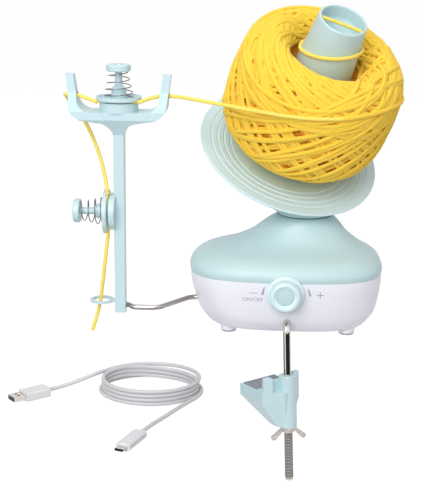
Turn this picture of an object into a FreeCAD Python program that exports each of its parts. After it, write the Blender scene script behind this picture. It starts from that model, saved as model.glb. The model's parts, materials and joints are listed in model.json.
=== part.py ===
import FreeCAD, Part
import math
import os

# Electric yarn ball winder, table clamped, with a ball half wound.
# Millimetres. Origin: on the table plane (soles of the feet) under the winding head's upright axis.
# +Z is up, -Y faces the user (the dial side), the yarn guide stands on the -X side.

V = FreeCAD.Vector
os.makedirs("parts", exist_ok=True)

# Clearances
RUN = 0.05            # radial gap of a running fit
PRESS = 0.02          # radial gap of a fixed fit
SEAT = 0.3            # gap that keeps a soft piece off a hard one
GAP_TURN = 0.8        # axial gap between turning mouldings

# Housing: a wide rounded base that draws in to a round neck
BASE_W = 147.6        # width at the seam
BASE_D = 104.0        # depth at the seam
BASE_CX = -14.5       # middle of the seam, measured from the neck axis
LOW_SHIFT = 2.4       # the underside's middle is this far right of the seam's
FOOT_H = 4.0
SEAM_Z = 45.5
NECK_Z = 88.0
NECK_R = 20.8
NECK_FROM = 80.0      # height where the neck bore starts to be round
WALL = 2.4
PLAN_POWER = 3.0      # squareness of the plan: 2 is an ellipse
FOOT_R = 6.5
FOOT_X = 45.4
FOOT_Y = 25.2
SOLE_T = 1.3
SPIGOT_R = 3.4
SPIGOT_H = 0.9
SCREW_R = 1.5

# Inner frame of the base
DECK_T = 1.6
DECK_W = 104.0
DECK_D = 60.0
DECK_CX = -12.0
POST_R = 3.6
POST_IN = 6.0         # deck posts, in from the deck's edges
MOTOR_R = 14.0
MOTOR_H = 33.0
MOTOR_SHAFT_R = 1.6
BEARING_R = 12.0
BEARING_L = 8.0
HEAD_SHAFT_R = 9.0
HEAD_SHAFT_BORE = 5.7
COLUMN_R = 4.9

# Gears
PRESSURE = 25.0
TOOTH_GAP = 0.22      # backlash
DRIVE_MODULE = 1.25
DRIVE_TEETH = 48
PINION_TEETH = 10
DRIVE_FACE = 6.0
DRIVE_Z = 51.0
SUN_MODULE = 1.25
SUN_TEETH = 12
PLANET_TEETH = 20
SUN_FACE = 5.0
SUN_Z = 91.6
BEVEL_A_TEETH = 12
BEVEL_B_TEETH = 24
BEVEL_FAR = 38.0      # slant distance of the bevels' large ends from their common apex
BEVEL_NEAR = 32.0

# Winding head: the bobbin's axis leans towards the user and to the right
TILT = 34.4
LEAN_DIR = -59.0
CROSS_Z = 174.0       # height where the leaning axis crosses the upright one
PLATE_DROP = 48.2     # from that crossing down to the plate's rim plane
PLATE_R = 71.8
PLATE_T = 2.4
PLATE_DISH = 3.0
PLATE_RINGS = (47.8, 53.0, 58.2, 63.4)
RING_D = 0.5
HUB_R = 9.0
BOBBIN_SHAFT_R = 4.0
BUSH_R = 6.0
CORE_H = 127.4        # rim of the core above the plate's rim plane
CORE_TOP_R = 18.2
CORE_TAPER = 5.0
CORE_WALL = 2.0
CUP_DEPTH = 15.0
TURRET_R = 20.4
TURRET_LID = 54.7     # outer face of the turret's lid, from the crossing
TURRET_LOW = 74.0     # where the gear case ends, from the crossing
CASE_R = 25.4
CASE_SHIFT = 6.6
TURRET_WALL = 2.0
LID_SPLIT = 57.2

# Wound ball
BALL_R = 66.8
BALL_MID = 60.0       # widest place above the plate's rim plane
BALL_TOP = 105.0
MOUTH_DEPTH = 21.0    # how far the ball's top draws in along the core
YARN_D = 2.8
WRAP_DROP = 27.7      # last turn of yarn round the core, its middle below the core's rim
WRAP_RISE = 8.3       # half the height between its high and its low side
END_TURN = 53.5       # strand's end across the core's mouth: its direction and its distance from the axis
END_OFF = 2.6

# Dial
DIAL_X = -14.0
DIAL_Z = 38.0
DIAL_FLANGE_R = 14.0
DIAL_FACE_R = 11.5
DIAL_CAP_R = 6.2
DIAL_H = 12.0
POT_R = 8.0
POT_SHAFT_R = 3.0
POT_AT = 11.4         # switch's back, in from the base's front

# Guide arm and guide post
ARM_R = 2.0
ARM_Z = 22.0
ARM_Y = -12.7
ARM_REACH = 24.3      # how far the arm's end goes into the base
POST_CX = -139.9
POST_CY = -37.5
STEM_W = 8.2
STEM_D = 8.0
STEM_LOW = 16.4
BAR_TOP = 171.0
BAR_T = 6.6
FORK_HALF = 38.9
PRONG_T = 5.8
PRONG_TOP = 198.0
FORK_DEPTH = 26.0
PRONG_DEPTH = 8.0
EYE_R = 2.6
EYE_Z = 182.6
RING_OUT_R = 9.1
RING_IN_R = 6.6
RING_T = 1.9
RING_Z = 24.2

# Yarn tension units: boss, sprung cup and thumb-knob on one axis
BOSS_R = 14.3
BOSS_H = 6.6
LOW_BOSS_H = 3.2
NIP = 0.9             # space that the squeezed yarn takes
CUP_R = 16.9
CUP_H = 3.4
CUP_FLOOR = 1.2
CUP_RIM = 1.8
HUB2_R = 5.6
HUB2_H = 9.0          # hub above the cup's foot
PIN_R = 2.7
KNOB_R = 9.1
KNOB_H = 4.9
KNOB_AT = 22.6        # knob's underside above the boss
SPRING_WIRE = 0.7
SPRING_LOW_R = 11.6
SPRING_TOP_R = 7.0
SPRING_TURNS = 4
LOW_UNIT_Z = 94.9

# Table clamp
ROD_R = 2.95
ROD_X = -12.6
ROD_Z = 13.6
ROD_OUT = 4.0         # rod's axis in front of the base
ROD_LOW = -109.5
ROD_REACH = 26.0      # how far the rod's end goes into the base
ROD_BEND = 5.0
ROD_LEAN = 2.2        # the rod hangs this far out of upright, its foot to the right
JAW_TURN = 37.5       # the jaw's arm is turned this far left of straight back
JAW_TUBE_R = 6.7
JAW_TOP = -25.0
JAW_LOW = -65.3
PLATFORM_Z = -35.8
PLATFORM_L = 33.0
PLATFORM_W = 33.0
PLATFORM_SIDE = 4.5   # middle of the platform, left of the tube
PLATFORM_END_T = 9.0
PAD_T = 2.0
PAD_FROM = 14.0
EAR_H = 11.4
EAR_T = 5.6
JAW_FOOT = 0.36       # the jaw's body shrinks to this share at the tube's foot
NUT_H = 4.6
NUT_R = 4.6
WING_SPAN = 14.4
WING_DROP = 11.6

# Loose lead, lying on the ground below the table edge
FLOOR_Z = -109.6
CORD_D = 3.6
COIL_X = -136.5
COIL_Y = 122.6
COIL_RX = 43.7        # to the middle of the cord
COIL_RY = 36.5
COIL_LAYERS = 4
COIL_STEPS = 18       # about a quarter turn each
COIL_PITCH = 4.15
COIL_START = 145.0
COIL_SWEEP = 1610.0

# Derived directions and points
TILT_R = math.radians(TILT)
LEAN_R = math.radians(LEAN_DIR)
FWD = V(math.cos(LEAN_R), math.sin(LEAN_R), 0)
AXIS = FWD * math.sin(TILT_R) + V(0, 0, math.cos(TILT_R))
DOWN = FWD * math.cos(TILT_R) - V(0, 0, math.sin(TILT_R))
CROSS = V(0, 0, CROSS_Z)
PLATE_C = CROSS - AXIS * PLATE_DROP
SUN_R = SUN_MODULE * SUN_TEETH / 2
PLANET_R = SUN_MODULE * PLANET_TEETH / 2
PLANET_OFF = SUN_R + PLANET_R
PLANET_XY = FWD * (-PLANET_OFF)
APEX = V(PLANET_XY.x, PLANET_XY.y, CROSS_Z - PLANET_OFF / math.tan(TILT_R))
APEX_DROP = PLANET_OFF / math.sin(TILT_R)
BEVEL_SUM = BEVEL_B_TEETH / BEVEL_A_TEETH + math.cos(TILT_R)
CONE_A = math.atan(math.sin(TILT_R) / BEVEL_SUM)
CONE_B = TILT_R - CONE_A
DRIVE_R = DRIVE_MODULE * DRIVE_TEETH / 2
PINION_R = DRIVE_MODULE * PINION_TEETH / 2
MOTOR_X = -(DRIVE_R + PINION_R)
DECK_Z = DRIVE_Z - 3.6 - DECK_T
DECK_TOP = DECK_Z + DECK_T
FLOOR_IN = FOOT_H + WALL
BASE_FRONT = -BASE_D / 2
BASE_BACK = BASE_D / 2
BASE_LEFT = BASE_CX - BASE_W / 2
POST_X = DECK_W / 2 - POST_IN
POST_Y = DECK_D / 2 - POST_IN
ROD_Y = BASE_FRONT - ROD_OUT
ROD_IN = BASE_FRONT + ROD_REACH
ARM_X_IN = BASE_LEFT + ARM_REACH


def save(name, shape):
    """Writes one node and prints what it is."""
    shape.exportStep("parts/" + name + ".step")
    print(name, "solids", len(shape.Solids), "valid", shape.isValid(), "volume", round(shape.Volume, 1))


def place(shape, origin, z_dir, x_dir):
    """Moves a shape drawn about its own origin to a point, with its Z and X turned as given."""
    z = V(z_dir)
    z.normalize()
    x = V(x_dir) - z * V(x_dir).dot(z)
    x.normalize()
    y = z.cross(x)
    m = FreeCAD.Matrix(x.x, y.x, z.x, origin.x, x.y, y.y, z.y, origin.y, x.z, y.z, z.z, origin.z, 0, 0, 0, 1)
    out = shape.copy()
    out.Placement = FreeCAD.Placement(m).multiply(out.Placement)
    return out


def cyl(r, z0, z1, x=0.0, y=0.0):
    """Upright cylinder between two heights."""
    return Part.makeCylinder(r, z1 - z0, V(x, y, z0))


def tube(r_out, r_in, z0, z1, x=0.0, y=0.0):
    """Upright tube between two heights."""
    return cyl(r_out, z0, z1, x, y).cut(cyl(r_in, z0 - 1, z1 + 1, x, y))


def box(x0, x1, y0, y1, z0, z1):
    """Block between six planes."""
    return Part.makeBox(x1 - x0, y1 - y0, z1 - z0, V(x0, y0, z0))


def turned(points):
    """Solid of revolution about Z from (radius, height) pairs joined by straight lines."""
    pts = [V(r, 0, z) for r, z in points]
    face = Part.Face(Part.makePolygon(pts + [pts[0]]))
    return face.revolve(V(0, 0, 0), V(0, 0, 1), 360)


def turned_curve(outline):
    """Solid of revolution about Z from a list of edges in the XZ plane."""
    face = Part.Face(Part.Wire(Part.__sortEdges__(outline)))
    return face.revolve(V(0, 0, 0), V(0, 0, 1), 360)


def soften(shape, radius, pick):
    """Fillets the edges that pick chooses."""
    edges = [e for e in shape.Edges if pick(e)]
    return shape.makeFillet(radius, edges) if edges else shape


# Routes: straight runs joined by tangent arcs
def route(points, radii=None):
    """Wire through the points, each turn an arc as large as its two runs allow."""
    edges = []
    report = []
    start = V(points[0])
    for i in range(1, len(points) - 1):
        a = points[i - 1] - points[i]
        b = points[i + 1] - points[i]
        short = min(a.Length, b.Length)
        a.normalize()
        b.normalize()
        half = (math.pi - a.getAngle(b)) / 2
        r = 0.45 * short / math.tan(half)
        if radii:
            r = min(r, radii[i - 1])
        back = r * math.tan(half)
        p = points[i] + a * back
        q = points[i] + b * back
        mid_dir = a + b
        mid_dir.normalize()
        m = points[i] + mid_dir * (r / math.cos(half) - r)
        edges.append(Part.LineSegment(start, p).toShape())
        edges.append(Part.Arc(p, m, q).toShape())
        report.append(round(r, 1))
        start = q
    edges.append(Part.LineSegment(start, V(points[-1])).toShape())
    return Part.Wire(edges), report


def swept(wire, r, label=""):
    """Round bar along a wire; prints how its volume compares with section times length."""
    first = wire.OrderedEdges[0]
    at = first.valueAt(first.FirstParameter)
    way = first.tangentAt(first.FirstParameter)
    if (at - wire.OrderedVertexes[0].Point).Length > 1e-6:
        at = first.valueAt(first.LastParameter)
        way = first.tangentAt(first.LastParameter) * -1
    ring = Part.Wire([Part.Circle(at, way, r).toShape()])
    bar = wire.makePipeShell([ring], True, False)
    if bar.Volume < 0:
        bar.reverse()
    want = math.pi * r * r * wire.Length
    if label:
        print(label, "length", round(wire.Length, 1), "volume share", round(bar.Volume / want, 4))
    return bar


def arc_from(a, tangent, b):
    """Arc that leaves a along the tangent and ends at b."""
    chord = b - a
    flat = V(chord)
    flat.normalize()
    side = tangent - flat * tangent.dot(flat)
    if side.Length < 1e-9:
        return Part.LineSegment(a, b).toShape()
    angle = tangent.getAngle(chord)
    side.normalize()
    return Part.Arc(a, a + chord * 0.5 + side * (chord.Length / 2 * math.tan(angle / 2)), b).toShape()


def biarc(p0, t0, p1, t1):
    """Two arcs that join two points with given tangents."""
    v = p1 - p0
    a = 2 * (1 - t0.dot(t1))
    b = v.dot(t0 + t1)
    d = (-b + math.sqrt(b * b + a * v.dot(v))) / a if a > 1e-9 else v.dot(v) / (4 * v.dot(t0))
    q = (p0 + t0 * d + p1 - t1 * d) * 0.5
    first = arc_from(p0, t0, q)
    back = arc_from(p1, t1 * -1, q)
    mid = back.valueAt((back.FirstParameter + back.LastParameter) / 2)
    return [first, Part.Arc(q, mid, p1).toShape()]


def winding(point, turns, steps=4):
    """Biarc wire along a winding given as a function of the turn count."""
    edges = []
    h = 1e-4
    for k in range(int(round(turns * steps))):
        u0 = k / steps
        u1 = (k + 1) / steps
        t0 = point(u0 + h) - point(u0 - h)
        t1 = point(u1 + h) - point(u1 - h)
        t0.normalize()
        t1.normalize()
        edges += biarc(point(u0), t0, point(u1), t1)
    return edges


def self_gap(point, turns, width):
    """Least gap between one turn of a winding and the next, measured on points."""
    n = 72
    pts = [point(i / n) for i in range(int(turns * n) + 1)]
    least = 1e9
    for i in range(len(pts) - n // 2):
        for j in range(i + n // 2, len(pts)):
            least = min(least, (pts[i] - pts[j]).Length)
    return round(least - width, 3)


# Involute teeth; cosd is the cosine of the pitch cone angle, 1 for a spur gear
def tooth_outline(teeth, module, phase, cosd=1.0):
    """Closed list of (x, y) points of a toothed rim with its pitch circle at module * teeth / 2."""
    rp = module * teeth / 2 / cosd
    zv = teeth / cosd
    press = math.radians(PRESSURE)
    rb = rp * math.cos(press)

    def half(rho):
        a = math.acos(min(1.0, rb / rho))
        inv = math.tan(a) - a
        return (math.pi / 2 / zv - TOOTH_GAP / 4 / rp + math.tan(press) - press - inv) / cosd

    root = rp - 1.2 * module
    steps = [root, max(rb, root) * 1.004, rp, rp + 0.88 * module]
    side = [(rho * cosd, half(max(rho, rb))) for rho in steps]
    out = []
    for k in range(teeth):
        mid = phase + 2 * math.pi * k / teeth
        out += [(r, mid - h) for r, h in side]
        out += [(r, mid + h) for r, h in reversed(side)]
    return [(r * math.cos(a), r * math.sin(a)) for r, a in out]


def spur(teeth, module, phase, z0, face, bore):
    """Spur gear about Z."""
    pts = [V(x, y, z0) for x, y in tooth_outline(teeth, module, phase)]
    rim = Part.Face(Part.makePolygon(pts + [pts[0]])).extrude(V(0, 0, face))
    return rim.cut(cyl(bore, z0 - 1, z0 + face + 1))


def bevel(teeth, cone, phase, far, near, bore):
    """Bevel gear with its apex at the origin, its body below it along -Z."""
    module = 2 * far * math.sin(cone) / teeth
    low = [V(x, y, -far * math.cos(cone)) for x, y in tooth_outline(teeth, module, phase, math.cos(cone))]
    high = [p * (near / far) for p in low]
    n = len(low)
    faces = [Part.Face(Part.makePolygon(low + [low[0]])), Part.Face(Part.makePolygon(high + [high[0]]))]
    for i in range(n):
        j = (i + 1) % n
        faces.append(Part.Face(Part.makePolygon([low[i], low[j], high[j], high[i], low[i]])))
    body = Part.makeSolid(Part.makeShell(faces))
    if body.Volume < 0:
        body.reverse()
    return body.cut(cyl(bore, -far - 1, 1))


# Housing sections: height, half width, half depth, middle, plan power
def housing_sections():
    w = BASE_W / 2
    d = BASE_D / 2
    low = [
        (FOOT_H, 0.776, 0.72, 1.0),
        (FOOT_H + 1.2, 0.806, 0.765, 0.88),
        (FOOT_H + 4.0, 0.846, 0.815, 0.75),
        (FOOT_H + 9.5, 0.905, 0.885, 0.67),
        (FOOT_H + 20.0, 0.960, 0.950, 0.42),
        (FOOT_H + 31.0, 0.992, 0.987, 0.17),
        (SEAM_Z, 1.0, 1.0, 0.0),
    ]
    return [(z, w * a, d * b, BASE_CX + LOW_SHIFT * c, PLAN_POWER) for z, a, b, c in low]


def shoulder_sections():
    w = BASE_W / 2
    d = BASE_D / 2
    high = [
        (0.0, 1.0, 1.0, 1.0, 1.0),
        (0.16, 0.999, 0.996, 1.0, 1.0),
        (0.33, 0.897, 0.881, 0.93, 0.97),
        (0.47, 0.705, 0.690, 0.62, 0.90),
        (0.575, 0.595, 0.590, 0.44, 0.75),
        (0.68, 0.506, 0.535, 0.33, 0.50),
        (0.80, 0.434, 0.490, 0.24, 0.25),
        (0.92, 0.360, 0.455, 0.15, 0.08),
    ]
    rise = NECK_Z - SEAM_Z
    out = []
    for f, a, b, c, p in high:
        out.append((SEAM_Z + rise * f, w * a, d * b, BASE_CX * c, 2 + (PLAN_POWER - 2) * p))
    out.append((NECK_Z, NECK_R, NECK_R, 0.0, 2.0))
    return out


def plan_wire(section, inset=0.0, lift=0.0):
    """Closed smooth curve of one housing section, drawn in by the wall."""
    z, w, d, cx, power = section
    n = 20
    pts = []
    for i in range(n):
        a = 2 * math.pi * (i + 0.5) / n
        c = math.cos(a)
        s = math.sin(a)
        x = (w - inset) * math.copysign(abs(c) ** (2 / power), c)
        y = (d - inset) * math.copysign(abs(s) ** (2 / power), s)
        pts.append(V(cx + x, y, z + lift))
    curve = Part.BSplineCurve()
    curve.interpolate(Points=pts, PeriodicFlag=True)
    return Part.Wire([curve.toShape()])


def housing_half(sections, inset=0.0):
    """Solid through a stack of housing sections."""
    return Part.makeLoft([plan_wire(s, inset) for s in sections], True, False)


def foot_places():
    return [(BASE_CX + LOW_SHIFT + sx * FOOT_X, sy * FOOT_Y) for sx in (-1, 1) for sy in (-1, 1)]


def deck_places():
    return [(DECK_CX + sx * POST_X, sy * POST_Y) for sx in (-1, 1) for sy in (-1, 1)]


# Base mouldings
def make_base():
    outer = housing_half(housing_sections())
    inner_rows = [(max(z, FLOOR_IN), w, d, cx, p) for z, w, d, cx, p in housing_sections() if z > FOOT_H + 3]
    inner_rows[0] = (FLOOR_IN,) + inner_rows[0][1:]
    last = inner_rows[-1]
    inner_rows[-1] = (SEAM_Z + 0.01,) + last[1:]
    shell = outer.cut(housing_half(inner_rows, WALL))
    for x, y in deck_places():
        shell = shell.fuse(cyl(POST_R, FLOOR_IN - 0.5, DECK_Z, x, y).cut(cyl(SCREW_R, DECK_Z - 8, DECK_Z + 1, x, y)))
    rod_boss = place(cyl(ROD_R + RUN + 3.2, 0, ROD_REACH - 2.0), V(ROD_X, BASE_FRONT + 3.5, ROD_Z), V(0, 1, 0), V(1, 0, 0))
    arm_boss = place(cyl(ARM_R + RUN + 3.0, 0, ARM_REACH - 4.3), V(BASE_LEFT + 3.8, ARM_Y, ARM_Z), V(1, 0, 0), V(0, 1, 0))
    bosses = rod_boss.fuse(arm_boss).common(outer)
    shell = shell.fuse(bosses)
    shell = shell.cut(place(cyl(ROD_R + RUN, 0, ROD_REACH + 20.0), V(ROD_X, ROD_IN + 0.5, ROD_Z), V(0, -1, 0), V(1, 0, 0)))
    shell = shell.cut(place(cyl(ARM_R + RUN, 0, ARM_REACH + 20.0), V(ARM_X_IN + 0.5, ARM_Y, ARM_Z), V(-1, 0, 0), V(0, 1, 0)))
    shell = shell.cut(place(cyl(POT_SHAFT_R + 1.2 + PRESS, 0, 12.0), V(DIAL_X, BASE_FRONT + 8.0, DIAL_Z), V(0, -1, 0), V(1, 0, 0)))
    for x, y in foot_places():
        stub = turned([(0, SOLE_T), (FOOT_R - 0.5, SOLE_T), (FOOT_R, FOOT_H + 1.5), (0, FOOT_H + 1.5)])
        stub = stub.cut(cyl(SPIGOT_R + PRESS, SOLE_T - 1, SOLE_T + SPIGOT_H))
        stub.translate(V(x, y, 0))
        shell = shell.fuse(stub)
    shell = shell.cut(box(SOCKET_X - 4.7, SOCKET_X + 4.7, BASE_BACK - 14.0, BASE_BACK + 8.0, SOCKET_Z - 1.8, SOCKET_Z + 1.8))
    save("base_lower", shell)

    outer = housing_half(shoulder_sections())
    rows = [s for s in shoulder_sections() if s[0] < NECK_FROM]
    rows[0] = (SEAM_Z - 0.01,) + rows[0][1:]
    rows = rows[:-1] + [(NECK_FROM - WALL, NECK_R + 4.5, NECK_R + 3.5, BASE_CX * 0.3, 2.2)]
    cavity = housing_half(rows, WALL)
    shell = outer.cut(cavity)
    shell = shell.fuse(cyl(BEARING_R + 3.0, NECK_Z - 26.0, NECK_Z - 3.0))
    shell = shell.cut(cyl(BEARING_R + PRESS, NECK_Z - 30.0, NECK_Z + 1))
    save("base_upper", shell.removeSplitter())

    feet = []
    for x, y in foot_places():
        foot = turned([(0, SOLE_T + SPIGOT_H), (SPIGOT_R, SOLE_T + SPIGOT_H), (SPIGOT_R, SOLE_T), (FOOT_R - 0.6, SOLE_T),
                       (FOOT_R - 0.6, 0.5), (FOOT_R - 1.1, 0.0), (0, 0.0)])
        foot.translate(V(x, y, 0))
        feet.append(foot)
    save("rubber_feet", Part.makeCompound(feet))


SOCKET_X = -32.0
SOCKET_Z = 17.0


# Inside the base: deck, motor, gears, column, board, dial switch
def make_drive():
    deck = box(DECK_CX - DECK_W / 2, DECK_CX + DECK_W / 2, -DECK_D / 2, DECK_D / 2, DECK_Z, DECK_TOP)
    deck = soften(deck, 6.0, lambda e: abs(e.tangentAt(e.FirstParameter).z) > 0.9)
    deck = deck.cut(cyl(4.2, DECK_Z - 1, DECK_TOP + 1, MOTOR_X, 0))
    for x, y in deck_places():
        deck = deck.cut(cyl(SCREW_R + 0.2, DECK_Z - 1, DECK_TOP + 1, x, y))
    save("gear_deck", deck)
    screws = []
    for x, y in deck_places():
        body = cyl(SCREW_R - PRESS, DECK_Z - 7, DECK_TOP, x, y).fuse(cyl(2.9, DECK_TOP, DECK_TOP + 2.0, x, y))
        screws.append(body)
    save("deck_screws", Part.makeCompound(screws))

    can = cyl(MOTOR_R, DECK_Z - MOTOR_H, DECK_Z, MOTOR_X, 0)
    can = soften(can, 1.5, lambda e: abs(e.BoundBox.ZMax - (DECK_Z - MOTOR_H)) < 0.01)
    can = can.fuse(cyl(4.0, DECK_Z, DECK_TOP + 1.2, MOTOR_X, 0))
    can = can.cut(cyl(MOTOR_SHAFT_R + RUN, DECK_Z - 14, DECK_TOP + 4, MOTOR_X, 0))
    save("motor", can)
    shaft = cyl(MOTOR_SHAFT_R, DECK_Z - 13.5, DRIVE_Z + DRIVE_FACE + 2.0, MOTOR_X, 0)
    save("motor_shaft", shaft)
    turn = math.pi / PINION_TEETH
    pinion = spur(PINION_TEETH, DRIVE_MODULE, turn, DRIVE_Z, DRIVE_FACE + 1.0, MOTOR_SHAFT_R + PRESS)
    pinion.translate(V(MOTOR_X, 0, 0))
    save("motor_pinion", pinion)

    wheel = spur(DRIVE_TEETH, DRIVE_MODULE, math.pi, DRIVE_Z, DRIVE_FACE, HEAD_SHAFT_R + PRESS)
    wheel = wheel.fuse(tube(14.0, HEAD_SHAFT_R + PRESS, DRIVE_Z + DRIVE_FACE - 0.5, NECK_Z - 27.2))
    for k in range(6):
        a = math.radians(60 * k + 30)
        wheel = wheel.cut(cyl(5.0, DRIVE_Z - 1, DRIVE_Z + DRIVE_FACE + 1, 20.5 * math.cos(a), 20.5 * math.sin(a)))
    save("drive_gear", wheel)

    low = turned([(0, DECK_TOP), (12.0, DECK_TOP), (12.0, DECK_TOP + 1.6), (COLUMN_R, DECK_TOP + 1.6),
                  (COLUMN_R, SUN_Z - 0.6), (COLUMN_R - 1.0, SUN_Z - 0.6), (COLUMN_R - 1.0, SUN_Z + SUN_FACE),
                  (0, SUN_Z + SUN_FACE)])
    save("sun_column", low)
    toward = math.atan2(-FWD.y, -FWD.x)
    sun = spur(SUN_TEETH, SUN_MODULE, toward, SUN_Z, SUN_FACE, COLUMN_R - 1.0 + PRESS)
    save("sun_gear", sun)

    bearings = [tube(BEARING_R, HEAD_SHAFT_R + RUN, z, z + BEARING_L) for z in (NECK_Z - 25.0, NECK_Z - 9.0)]
    save("neck_bearings", Part.makeCompound(bearings))

    board = box(SOCKET_X - 19, SOCKET_X + 19, BASE_BACK - 30.0, BASE_BACK - 13.5, SOCKET_Z - 3.3, SOCKET_Z - 1.7)
    legs = [(SOCKET_X + sx * 16, BASE_BACK - back) for sx in (-1, 1) for back in (18.0, 27.0)]
    for x, y in legs:
        board = board.fuse(cyl(2.2, FLOOR_IN, SOCKET_Z - 3.3, x, y))
    board = board.fuse(box(SOCKET_X + 2, SOCKET_X + 12, BASE_BACK - 27.0, BASE_BACK - 19.0, SOCKET_Z - 2.0, SOCKET_Z - 0.2))
    board = board.fuse(cyl(4.0, SOCKET_Z - 2.0, SOCKET_Z + 8.0, SOCKET_X - 11, BASE_BACK - 22.0))
    save("control_board", board.removeSplitter())
    socket = rounded_slab(8.9, 3.2, 7.4, 1.5).cut(rounded_slab(8.3, 2.6, 6.6, 1.25))
    save("usb_socket", place(socket, V(SOCKET_X, BASE_BACK - 5.7, SOCKET_Z), V(0, -1, 0), V(1, 0, 0)))


def rounded_slab(w, h, length, r):
    """Bar of w by h with rounded long edges, from the origin along +Z."""
    bar = Part.makeBox(w, h, length, V(-w / 2, -h / 2, 0))
    return soften(bar, r, lambda e: abs(e.tangentAt(e.FirstParameter).z) > 0.9)


# Dial: the shaft of the switch comes through the front wall; the cap closes the dial's middle
def make_dial():
    face = BASE_FRONT - 0.6
    back = turned([(0, 0), (POT_R, 0), (POT_R, 7.5), (4.2, 7.5), (4.2, 9.6), (0, 9.6)])
    back = back.cut(cyl(POT_SHAFT_R + RUN, 3.0, 12.0))
    origin = V(DIAL_X, BASE_FRONT + POT_AT, DIAL_Z)
    save("speed_switch", place(back, origin, V(0, -1, 0), V(1, 0, 0)))
    reach = origin.y - face
    shaft = cyl(POT_SHAFT_R, 3.4, reach + 6.0)
    save("switch_shaft", place(shaft, origin, V(0, -1, 0), V(1, 0, 0)))
    knob = turned([(POT_SHAFT_R + PRESS, 0), (DIAL_FLANGE_R - 0.8, 0), (DIAL_FLANGE_R, 0.8), (DIAL_FLANGE_R, 2.2),
                   (DIAL_FLANGE_R - 1.0, 3.0), (DIAL_FACE_R + 0.5, 3.4), (DIAL_FACE_R, DIAL_H - 2.6),
                   (DIAL_FACE_R - 0.9, DIAL_H - 0.7), (DIAL_FACE_R - 2.4, DIAL_H),
                   (DIAL_CAP_R + 1.2, DIAL_H - 1.3), (DIAL_CAP_R + 0.15, DIAL_H - 2.0),
                   (DIAL_CAP_R + 0.15, DIAL_H - 4.6), (POT_SHAFT_R + PRESS, DIAL_H - 4.6)])
    save("dial_knob", place(knob, V(DIAL_X, face, DIAL_Z), V(0, -1, 0), V(1, 0, 0)))
    cap = turned([(0, DIAL_H - 4.4), (DIAL_CAP_R, DIAL_H - 4.4), (DIAL_CAP_R, DIAL_H - 1.9),
                  (DIAL_CAP_R - 0.6, DIAL_H - 1.4), (0, DIAL_H - 1.1)])
    save("dial_cap", place(cap, V(DIAL_X, face, DIAL_Z), V(0, -1, 0), V(1, 0, 0)))


# Winding head: turret with its gear case, hollow shaft, planet and bobbin
def case_solid(inset):
    """Outer or inner form of the turret's gear case, before its lid plane cuts it."""
    low_z = NECK_Z + GAP_TURN + inset
    r_planet = PLANET_R + 4.0 - inset
    foot = hull_prism(TURRET_R - inset, r_planet, low_z, NECK_Z + 11.0 - inset)
    bowl_c = CROSS - AXIS * (TURRET_LOW - inset) + DOWN * CASE_SHIFT
    bowl = place(cyl(CASE_R - inset, 0, 40.0), bowl_c, AXIS, DOWN)
    low_ring = place(Part.Wire([Part.Circle(V(0, 0, 0), V(0, 0, 1), r_planet - 0.2).toShape()]),
                     PLANET_XY + V(0, 0, NECK_Z + 6.0), V(0, 0, 1), FWD)
    high_ring = place(Part.Wire([Part.Circle(V(0, 0, 0), V(0, 0, 1), CASE_R - inset - 0.2).toShape()]),
                      bowl_c + AXIS * 0.5, AXIS, DOWN)
    bridge = Part.makeLoft([low_ring, high_ring], True, True)
    return foot.fuse([bowl, bridge])


def hull_prism(r1, r2, z0, z1):
    """Upright prism round the neck's circle and the planet's, with straight flanks."""
    side = V(0, 0, 1).cross(FWD * -1)
    lean = (r1 - r2) / PLANET_OFF
    out = math.sqrt(1 - lean * lean)
    away = FWD * -1
    lift = V(0, 0, z0)
    far = PLANET_XY
    a = away * (lean * r1) + side * (out * r1) + lift
    b = far + away * (lean * r2) + side * (out * r2) + lift
    c = far + away * (lean * r2) - side * (out * r2) + lift
    d = away * (lean * r1) - side * (out * r1) + lift
    edges = [Part.LineSegment(a, b).toShape(), Part.Arc(b, far + away * r2 + lift, c).toShape(),
             Part.LineSegment(c, d).toShape(), Part.Arc(d, FWD * r1 + lift, a).toShape()]
    return Part.Face(Part.Wire(edges)).extrude(V(0, 0, z1 - z0))


def below_lid(drop):
    """Half space below the plane that lies so far under the crossing."""
    slab = Part.makeBox(300, 300, 120, V(-150, -150, -120))
    return place(slab, CROSS - AXIS * drop, AXIS, DOWN)


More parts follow.
